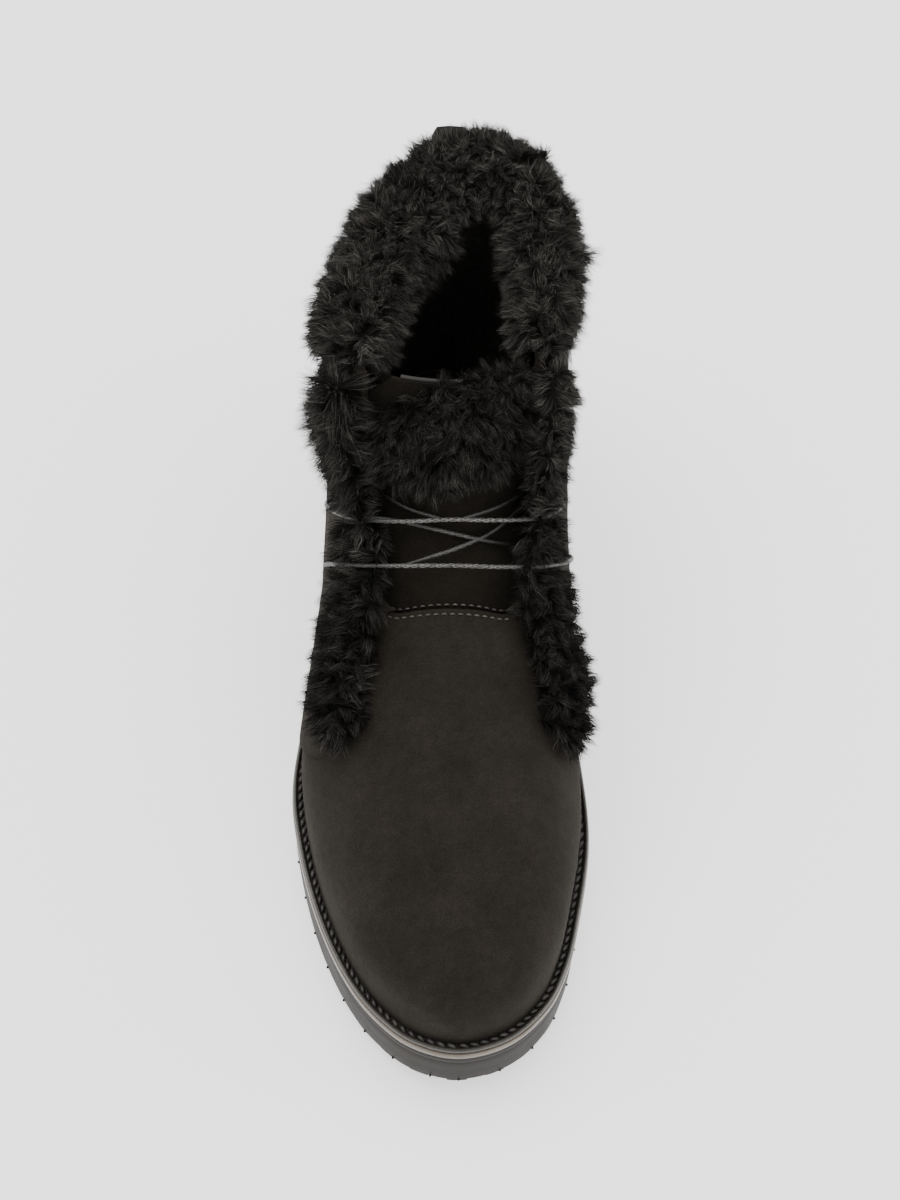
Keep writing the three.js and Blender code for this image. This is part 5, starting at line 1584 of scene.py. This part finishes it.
        top = lambda y: LAST.feather_height(y) - LAST.welt_thickness - LAST.clearance
        bottom = lambda y: top(y) - LAST.midsole_thickness
        level = lambda share: lambda y: mix(bottom(y), top(y), share)
        midsole = self.slab([
            (0.9, level(0)), (0.45, level(0.08)), (0.35, level(0.3)), (0.35, level(0.72)),
            (0.5, level(0.93)), (0.95, level(1)),
        ])
        dress(made_object(midsole, "midsole_strip"), "rubber", Slot.MIDSOLE, ["midsole"])

        side = lambda share: lambda y: mix(LAST.outsole_under(y), LAST.outsole_top(y), share)
        under = lambda y: LAST.outsole_under(y) - LAST.lug_depth + self.rim_raise
        wall = self.wall_inset
        web = self.slab([
            (wall + self.rim_width, side(0)),
            (wall + self.rim_width - 0.5, lambda y: under(y) + 0.3),
            (wall + self.rim_width - 0.9, under), (wall + 0.7, under),
            (wall + 0.15, lambda y: under(y) + 0.25), (wall, lambda y: under(y) + 0.8),
            (wall, side(0.2)), (wall - 0.15, side(0.6)), (wall - 0.3, side(0.9)),
            (wall - 0.1, side(1)),
        ])
        dress(made_object(web, "outsole_web"), "rubber", Slot.RUBBER, ["outsole"])
        pips = Stitches("edge_pips", "rubber", 13.7, 1.0, 0.5, Slot.RUBBER, lift=0.0)
        pips.build([self.pip_path()])
        whole = bmesh.new()
        for block in self.tread():
            mesh = bpy.data.meshes.new("block")
            block.to_mesh(mesh)
            block.free()
            whole.from_mesh(mesh)
            bpy.data.meshes.remove(mesh)
        bmesh.ops.recalc_face_normals(whole, faces=whole.faces)
        dress(made_object(whole, "outsole_lugs"), "rubber", Slot.RUBBER, ["outsole"], sharp=50)


LEATHER_CLEAR = 3.2
LACE_CLEAR = 1.5


def solid_tree(name: str) -> BVHTree:
    """Search tree of one solid's surface."""
    bm = bmesh.new()
    bm.from_mesh(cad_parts[name].data)
    tree = BVHTree.FromBMesh(bm)
    bm.free()
    return tree


@dataclass
class Pile:
    """Long pile grown from one fur solid: a soft undercoat and tapered hairs in locks."""

    node: str
    hairs: int
    seed: int
    length: float = 6.6
    width: float = 0.2
    lock_size: int = 40
    gather: float = 0.5
    lie: float = 0.8
    droop: tuple[float, float, float] = (0.0, 0.0, -0.35)
    voxel: float = 1.5
    shrink: float = 1.8
    pieces: int = 1
    # Tone kept by the lower hairs: painted shade on the fur low on the boot and down in the throat.
    tone: float = 0.48
    short_behind: float = 1e3
    middle: tuple[float, float, float] = (2.0, 78.0, 150.0)
    # Heights in millimetres over which that painted shade lifts to the full tone.
    shade_levels: tuple[float, float] = (86.0, 126.0)
    top_growth: float = 0.0
    bow: float = 0.9
    twist: float = 0.5
    sag: float = 1.6
    inside_share: float = 0.5
    growth_levels: tuple[float, float] = (114.0, 126.0)

    def undercoat(self) -> bpy.types.Object:
        """Soft form of the solid, a little smaller than it."""
        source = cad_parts[self.node]
        bm = bmesh.new()
        bm.from_mesh(source.data)
        bmesh.ops.remove_doubles(bm, verts=bm.verts, dist=1e-6)
        mesh = bpy.data.meshes.new(self.node + "_undercoat")
        bm.to_mesh(mesh)
        bm.free()
        obj = bpy.data.objects.new(self.node + "_undercoat", mesh)
        bpy.context.scene.collection.objects.link(obj)
        remesh = obj.modifiers.new("remesh", "REMESH")
        remesh.mode = "VOXEL"
        remesh.voxel_size = self.voxel * MM
        smooth = obj.modifiers.new("smooth", "SMOOTH")
        smooth.factor, smooth.iterations = 0.6, 6
        apply_modifiers(obj)
        bm = bmesh.new()
        bm.from_mesh(obj.data)
        bm.normal_update()
        for vert in bm.verts:
            vert.co -= vert.normal * self.shrink * MM
        bm.to_mesh(obj.data)
        bm.free()
        self.keep_whole(obj)
        return obj

    @staticmethod
    def keep_whole(obj: bpy.types.Object) -> None:
        """Drops crumbs that came loose from the largest connected form."""
        bm = bmesh.new()
        bm.from_mesh(obj.data)
        left, groups = set(bm.verts), []
        while left:
            group, front = set(), [left.pop()]
            while front:
                vert = front.pop()
                group.add(vert)
                for edge in vert.link_edges:
                    other = edge.other_vert(vert)
                    if other in left:
                        left.discard(other)
                        front.append(other)
            groups.append(group)
        groups.sort(key=len)
        loose = [vert for group in groups[:-1] for vert in group]
        bmesh.ops.delete(bm, geom=loose, context="VERTS")
        bm.to_mesh(obj.data)
        bm.free()

    def roots(self, base: bpy.types.Object, rng: np.random.Generator) -> tuple[Points, Points]:
        """Places and normals of the hairs, evenly over the coat but not against the leather."""
        mesh = base.data
        mesh.calc_loop_triangles()
        corners = np.array([t.vertices for t in mesh.loop_triangles])
        places = np.array([v.co for v in mesh.vertices])
        normals = np.array([v.normal for v in mesh.vertices])
        a, b, c = (places[corners[:, k]] for k in range(3))
        area = np.linalg.norm(np.cross(b - a, c - a), axis=1)
        chosen = rng.choice(len(area), int(self.hairs * 1.5), p=area / area.sum())
        u, v = rng.random(len(chosen)), rng.random(len(chosen))
        flip = u + v > 1
        u[flip], v[flip] = 1 - u[flip], 1 - v[flip]
        weights = np.stack([1 - u - v, u, v], 1)[..., None]
        root = (places[corners[chosen]] * weights).sum(1)
        normal = (normals[corners[chosen]] * weights).sum(1)
        normal /= np.linalg.norm(normal, axis=1)[:, None]
        clear = self.clear_of_leather(root, normal) & self.clear_of_lace(root, normal)
        return root[clear][: self.hairs], normal[clear][: self.hairs]

    @staticmethod
    def clear_of_leather(root: Points, normal: Points) -> Points:
        """Which hairs don't grow straight into the upper or the tongue."""
        free = np.ones(len(root), bool)
        for name in ("upper", "tongue"):
            tree = solid_tree(name)
            for i in np.nonzero(free)[0]:
                hit = tree.ray_cast(Vector(root[i]), Vector(normal[i]), LEATHER_CLEAR * MM)
                free[i] = hit[0] is None
        return free

    def clear_of_lace(self, root: Points, normal: Points) -> Points:
        """Which hairs stand beside the lace, not through or over it."""
        tree = solid_tree("lace")
        low, high = (np.array(corner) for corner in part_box("lace"))
        free = np.ones(len(root), bool)
        reach = self.length * MM
        near = np.all((root > low - 2 * reach) & (root < high + 2 * reach), axis=1)
        for i in np.nonzero(near)[0]:
            for share in (0.0, 0.45, 0.9):
                spot = Vector(root[i] + normal[i] * reach * share)
                if tree.find_nearest(spot, LACE_CLEAR * MM)[0] is not None:
                    free[i] = False
            if tree.ray_cast(spot, Vector(-normal[i]), 1.6 * reach)[0] is not None:
                free[i] = False
        return free

    def locks(
        self, root: Points, normal: Points, rng: np.random.Generator
    ) -> tuple[Points, Points]:
        """The lock that each hair belongs to, and each lock's own hair."""
        count = max(len(root) // self.lock_size, 1)
        heads = rng.choice(len(root), count, replace=False)
        tree = KDTree(count)
        for i, head in enumerate(heads):
            tree.insert(root[head] + normal[head] * 3 * MM, i)
        tree.balance()
        own = np.array([tree.find(Vector(p + n * 3 * MM))[1] for p, n in zip(root, normal)])
        return own, heads

    def grow(self) -> None:
        """Makes the undercoat and the hairs."""
        rng = np.random.default_rng(self.seed)
        base = self.undercoat()
        root, normal = self.roots(base, rng)
        own, heads = self.locks(root, normal, rng)
        count = len(root)

        lock_turn = rng.normal(size=(len(heads), 3))
        lock_length = rng.uniform(0.86, 1.14, len(heads))
        spot = root / MM - LAST.shift
        # Painted shade: each lock low on the boot is darkened to the lower tone and lightens to
        # full over the shade heights; the random share after it is the fur's own.
        tone = mix(self.tone, 1.0, smooth_step(*self.shade_levels, spot[heads, 2]))
        lock_tone = tone * rng.uniform(0.4, 1.2, len(heads))
        heading = normal + self.lie * lock_turn[own] * 0.6 + rng.normal(size=(count, 3)) * 0.24
        heading += np.array(self.droop)
        inward = (heading * normal).sum(1)
        heading += normal * np.clip(0.35 - inward, 0, None)[:, None]
        heading /= np.linalg.norm(heading, axis=1)[:, None]
        head_way = heading[heads][own]
        head_root = root[heads][own]
        length = self.length * MM * lock_length[own] * rng.uniform(0.62, 1.18, count)
        inside = (spot[:, 1] > self.short_behind) & ((spot - self.middle) * normal < 0)[:, 1]
        length[inside] *= self.inside_share
        length *= 1 + self.top_growth * smooth_step(*self.growth_levels, spot[:, 2])
        curl_way = np.cross(head_way, normal)
        curl_way /= np.linalg.norm(curl_way, axis=1)[:, None] + 1e-9
        phase = rng.uniform(0, 2 * math.pi, len(heads))[own] + rng.normal(size=count) * 0.5
        levels = (0.0, 0.55, 1.0)
        spine = []
        for t in levels:
            alone = root + heading * (length * t)[:, None]
            gathered = head_root + head_way * (length * t)[:, None]
            pull = self.gather * t**1.3
            point = mix(alone, gathered, pull)
            bow = self.bow * MM * t * np.sin(phase + 4.2 * t)
            twist = self.twist * MM * t * np.cos(phase + 5 * t)
            point = point + curl_way * bow[:, None] + normal * twist[:, None]
            point[:, 2] -= self.sag * MM * t * t
            spine.append(point)
        spine = np.array(spine)
        along = spine[-1] - spine[0]
        flat = np.cross(along, normal) + rng.normal(size=(count, 3)) * length[:, None] * 0.3
        flat /= np.linalg.norm(flat, axis=1)[:, None]
        width = self.width * MM * rng.uniform(0.7, 1.3, count)
        shown = np.array([1.0, 0.8])
        verts = np.zeros((count, 5, 3))
        for k in range(2):
            offset = flat * (width * shown[k] / 2)[:, None]
            verts[:, 2 * k] = spine[k] - offset
            verts[:, 2 * k + 1] = spine[k] + offset
        verts[:, 4] = spine[2]
        # Painted shade and glints along each hair: black at the root, lighter to the tip, with a
        # few hairs given much brighter tips as glints.
        root_shade_ramp = np.array([0.0, 0.0, 0.4, 0.4, 1.0])
        own_tone = lock_tone[own] * (0.08 + 1.3 * rng.random(count) ** 2.6)
        tones = np.clip(root_shade_ramp[None] * own_tone[:, None], 0, 1)
        pattern = np.array([[0, 1, 3, 2], [2, 3, 4, -1]])
        aside, along_boot = (root[:, k] - root[:, k].mean() for k in range(2))
        order = np.argsort(np.arctan2(along_boot, aside))
        for part, some in enumerate(np.array_split(order, self.pieces)):
            offset = (np.arange(len(some)) * 5)[:, None, None]
            faces = np.where(pattern[None] >= 0, pattern[None] + offset, -1).reshape(-1, 4)
            name = f"{self.node}_hair_{part + 1}"
            obj = array_object(name, verts[some].reshape(-1, 3), faces, tones[some].ravel())
            dress(obj, "fur", Slot.FUR, [self.node], sharp=0)
        dress(base, "undercoat", Slot.FUR, [self.node], sharp=0)


@dataclass
class HeelTab:
    """Suede tab behind the collar."""

    width: float = 13.0
    thickness: float = 2.0
    above: float = 1.8

    def build(self) -> None:
        """Makes the tab from its solid's own place."""
        low, high = (np.array(corner) / MM - LAST.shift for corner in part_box("heel_tab"))
        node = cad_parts["heel_tab"].data
        outer = np.array([v.co for v in node.vertices]) / MM - LAST.shift
        levels = np.linspace(low[2], high[2] + self.above, 28)
        spread = np.linspace(-1, 1, 13)
        rows = []
        for z in levels:
            close = outer[np.abs(outer[:, 2] - z) < 4.5]
            weight = np.exp(-(((close[:, 2] - z) / 2.2) ** 2))
            back = close[:, 1] > np.average(close[:, 1], weights=weight)
            y = np.average(close[back, 1], weights=weight[back])
            x = np.average(close[:, 0], weights=weight)
            share = (z - low[2]) / (high[2] - low[2])
            corner = 1 - 0.16 * max(0.0, abs(2 * share - 1) - 0.86) / 0.14
            half = self.width / 2 * corner
            rows.append([(x + s * half, y - 0.55 * s * s, z) for s in spread])
        bm = laid_grid(np.array(rows))
        bmesh.ops.recalc_face_normals(bm, faces=bm.faces)
        if sum(face.normal.y for face in bm.faces) < 0:
            bmesh.ops.reverse_faces(bm, faces=bm.faces)
        piece = made_object(bm, "heel_tab_suede")
        thickened(piece, self.thickness)
        dress(piece, "tab_suede", Slot.SUEDE, ["heel_tab"])


def main() -> None:
    """Builds the boot, piece by piece."""
    logging.basicConfig(level=logging.INFO, format="%(name)s: %(message)s")
    LAST.settle()
    Studio().build()
    Upper().build()
    FoldSeam().build()
    Tongue().build()
    Lace().build()
    Sole().build()
    HeelTab().build()
    for pile in (
        Pile("collar_fur", 110000, 11, pieces=3, short_behind=92.0),
        Pile("lateral_facing_fur", 29000, 12, top_growth=0.4),
        Pile("medial_facing_fur", 29000, 13, length=5.6),
        # The tongue's fur lifts its painted shade only high up, so it stays darker than the collar.
        Pile("tongue_fur", 27000, 14, droop=(0.0, -0.3, -0.3), shade_levels=(135.0, 190.0)),
    ):
        pile.grow()
    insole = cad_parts["insole"]
    insole.data.materials.clear()
    insole.data.materials.append(WARDROBE.get("lining"))


if __name__ == "__main__":
    main()
